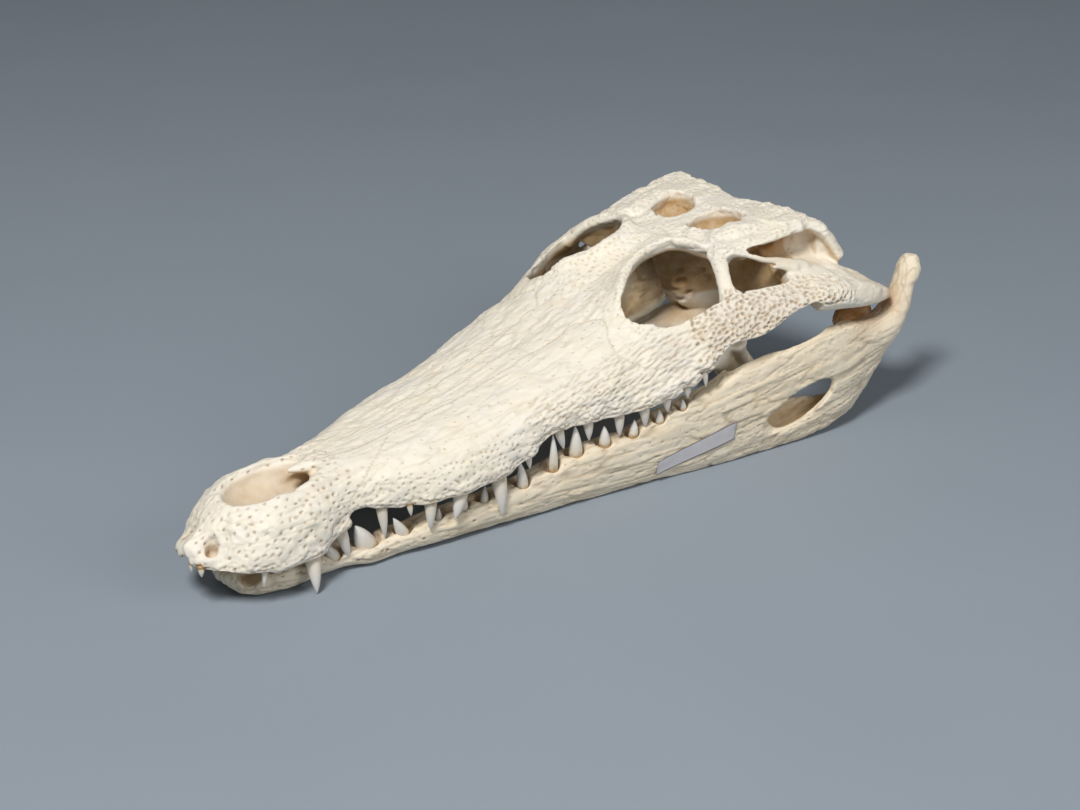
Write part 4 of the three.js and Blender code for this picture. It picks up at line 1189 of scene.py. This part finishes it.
def label_mesh(jaw):
    """A thin slip of paper that follows the left jaw's side, a little lifted at its rear corner."""
    across, along, gap, thick, lift = 13, 61, 0.35, 0.22, 0.5
    v, u = np.meshgrid(np.linspace(0, 1, across), np.linspace(0, 1, along), indexing="ij")
    station = 217.5 + 40.5 * u
    low, high = 4.9 + 8.6 * u, 11.7 + 11 * u
    z = low + (high - low) * v
    # the outermost bone at each place, then a taut sheet over it
    reach = np.arange(84, 30, -0.25)
    rays = np.stack(np.broadcast_arrays(station[..., None], reach, z[..., None]), -1)
    inside = jaw.sample(rays.reshape(-1, 3)).reshape(rays.shape[:3]) < 0
    side = reach[np.argmax(inside, axis=2)]
    for _ in range(30):
        p = np.pad(side, 1, mode="edge")
        side = np.maximum(side, (p[:-2, 1:-1] + p[2:, 1:-1] + p[1:-1, :-2] + p[1:-1, 2:]) / 4)
    side = side + gap + lift * rise(u, 0.9, 1) * rise(v, 0.5, 1)
    face = np.stack([station, -side, z], -1).reshape(-1, 3)
    rim = np.maximum(rise(np.abs(v - 0.5), 0.44, 0.485), 0.35 * rise(np.abs(u - 0.5), 0.49, 0.5)).ravel()
    count = across * along
    index = np.arange(count).reshape(across, along)
    a = index[:-1, :-1].ravel()
    front = np.stack([a, a + 1, a + along + 1, a + along], -1)
    border = np.concatenate([index[0], index[1:, -1], index[-1, -2::-1], index[-2:0:-1, 0]])
    after = np.roll(border, -1)
    walls = np.stack([border, border + count, after + count, after], -1)
    points = np.concatenate([face, face + [0, thick, 0]])
    faces = np.concatenate([front, front[:, ::-1] + count, walls])
    return make_mesh("label_paper", points, faces, {"rim": np.concatenate([rim, rim])})


# ---------------------------------------------------------------- building

field = cranium_field()
points, quads = field.surface(mirror=True)
points, looks = finish_cranium(field, relaxed(points, quads), quads)
cranium = make_mesh("cranium_bone", points, quads, looks)

field = jaw_field()
points, quads = field.surface()
points, looks = finish_jaw(field, relaxed(points, quads), quads)
right_jaw = make_mesh("lower_jaw_right_bone", points, quads, looks)
left_jaw = make_mesh("lower_jaw_left_bone", points * [1, -1, 1], quads[:, ::-1], looks)
label = label_mesh(field)

upper_teeth = teeth("upper_teeth", UPPER_TEETH, (1, -1), left_only=2)
right_teeth = teeth("lower_teeth_right", LOWER_TEETH, (1,))
left_teeth = teeth("lower_teeth_left", LOWER_TEETH, (-1,))

cream = bone_material("cream_bone", (0.90, 0.835, 0.70), (0.86, 0.815, 0.73), (0.80, 0.68, 0.47))
tawny = bone_material("tawny_bone", (0.87, 0.755, 0.565), (0.84, 0.755, 0.61), (0.76, 0.60, 0.37))
ivory, paper = ivory_material(), paper_material()
for piece, node, finish, slot in (
        (cranium, "cranium", cream, "bone"), (right_jaw, "lower_jaw_right", tawny, "bone"),
        (left_jaw, "lower_jaw_left", tawny, "bone"), (upper_teeth, "cranium", ivory, "bone"),
        (right_teeth, "lower_jaw_right", ivory, "bone"), (left_teeth, "lower_jaw_left", ivory, "bone"),
        (label, "label", paper, "label")):
    piece.data.materials.append(finish)
    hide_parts(node)
    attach(piece, "root")

# ---------------------------------------------------------------- studio

floor_mesh = bpy.data.meshes.new("floor")
FLOOR_REACH = 6
corners = [(FLOOR_REACH * x, FLOOR_REACH * y, 0) for x, y in ((-1, -1), (1, -1), (1, 1), (-1, 1))]
floor_mesh.from_pydata(corners, [], [(0, 1, 2, 3)])
floor = bpy.data.objects.new("floor", floor_mesh)
bpy.context.scene.collection.objects.link(floor)
floor.data.materials.append(floor_material())

bpy.context.scene.view_settings.view_transform = "Standard"
world = bpy.data.worlds.new("studio")
bpy.context.scene.world = world
world.use_nodes = True
sky = world.node_tree.nodes["Background"].inputs
sky["Color"].default_value = (0.92, 0.96, 1, 1)
sky["Strength"].default_value = 0.13


def area_light(name, place, target, size, power, colour=(1, 1, 1)):
    data = bpy.data.lights.new(name, "AREA")
    data.shape, data.size, data.energy, data.color = "DISK", size, power, colour
    lamp = bpy.data.objects.new(name, data)
    lamp.location = place
    lamp.rotation_mode = "QUATERNION"
    lamp.rotation_quaternion = (Vector(target) - Vector(place)).to_track_quat("-Z", "Y")
    bpy.context.scene.collection.objects.link(lamp)


SKULL = (0, 0, 0.04)
area_light("key", (-0.95, -0.5, 1.55), SKULL, 0.45, 28.5, (1, 0.98, 0.95))
area_light("fill", (0.3, -1.3, 0.8), SKULL, 0.9, 6, (1, 0.99, 0.97))

# the camera stands where the photograph was taken from: angles, metres, and a focal length in pixels
AZIMUTH, ELEVATION, ROLL = (math.radians(v) for v in (-42.779, 25.480, 0.085))
DISTANCE, FOCAL, PHOTO_WIDTH, SENSOR_WIDTH = 0.945703, 2061.62, 1080, 36
target = Vector(((194.955 - OVERALL_LENGTH / 2) / 1000, 0, 0.028658))
back = Vector((math.sin(AZIMUTH) * math.cos(ELEVATION), -math.cos(AZIMUTH) * math.cos(ELEVATION),
               math.sin(ELEVATION)))
right = Vector((math.cos(AZIMUTH), math.sin(AZIMUTH), 0))
up = back.cross(right)
turned_right = right * math.cos(ROLL) + up * math.sin(ROLL)
turned_up = up * math.cos(ROLL) - right * math.sin(ROLL)
camera_data = bpy.data.cameras.new("camera")
camera_data.sensor_width = SENSOR_WIDTH
camera_data.lens = SENSOR_WIDTH * FOCAL / PHOTO_WIDTH
camera_data.clip_start, camera_data.clip_end = 0.02, 50
camera = bpy.data.objects.new("camera", camera_data)
camera.matrix_world = Matrix((turned_right, turned_up, back)).transposed().to_4x4()
camera.location = target + back * DISTANCE
bpy.context.scene.collection.objects.link(camera)
bpy.context.scene.camera = camera
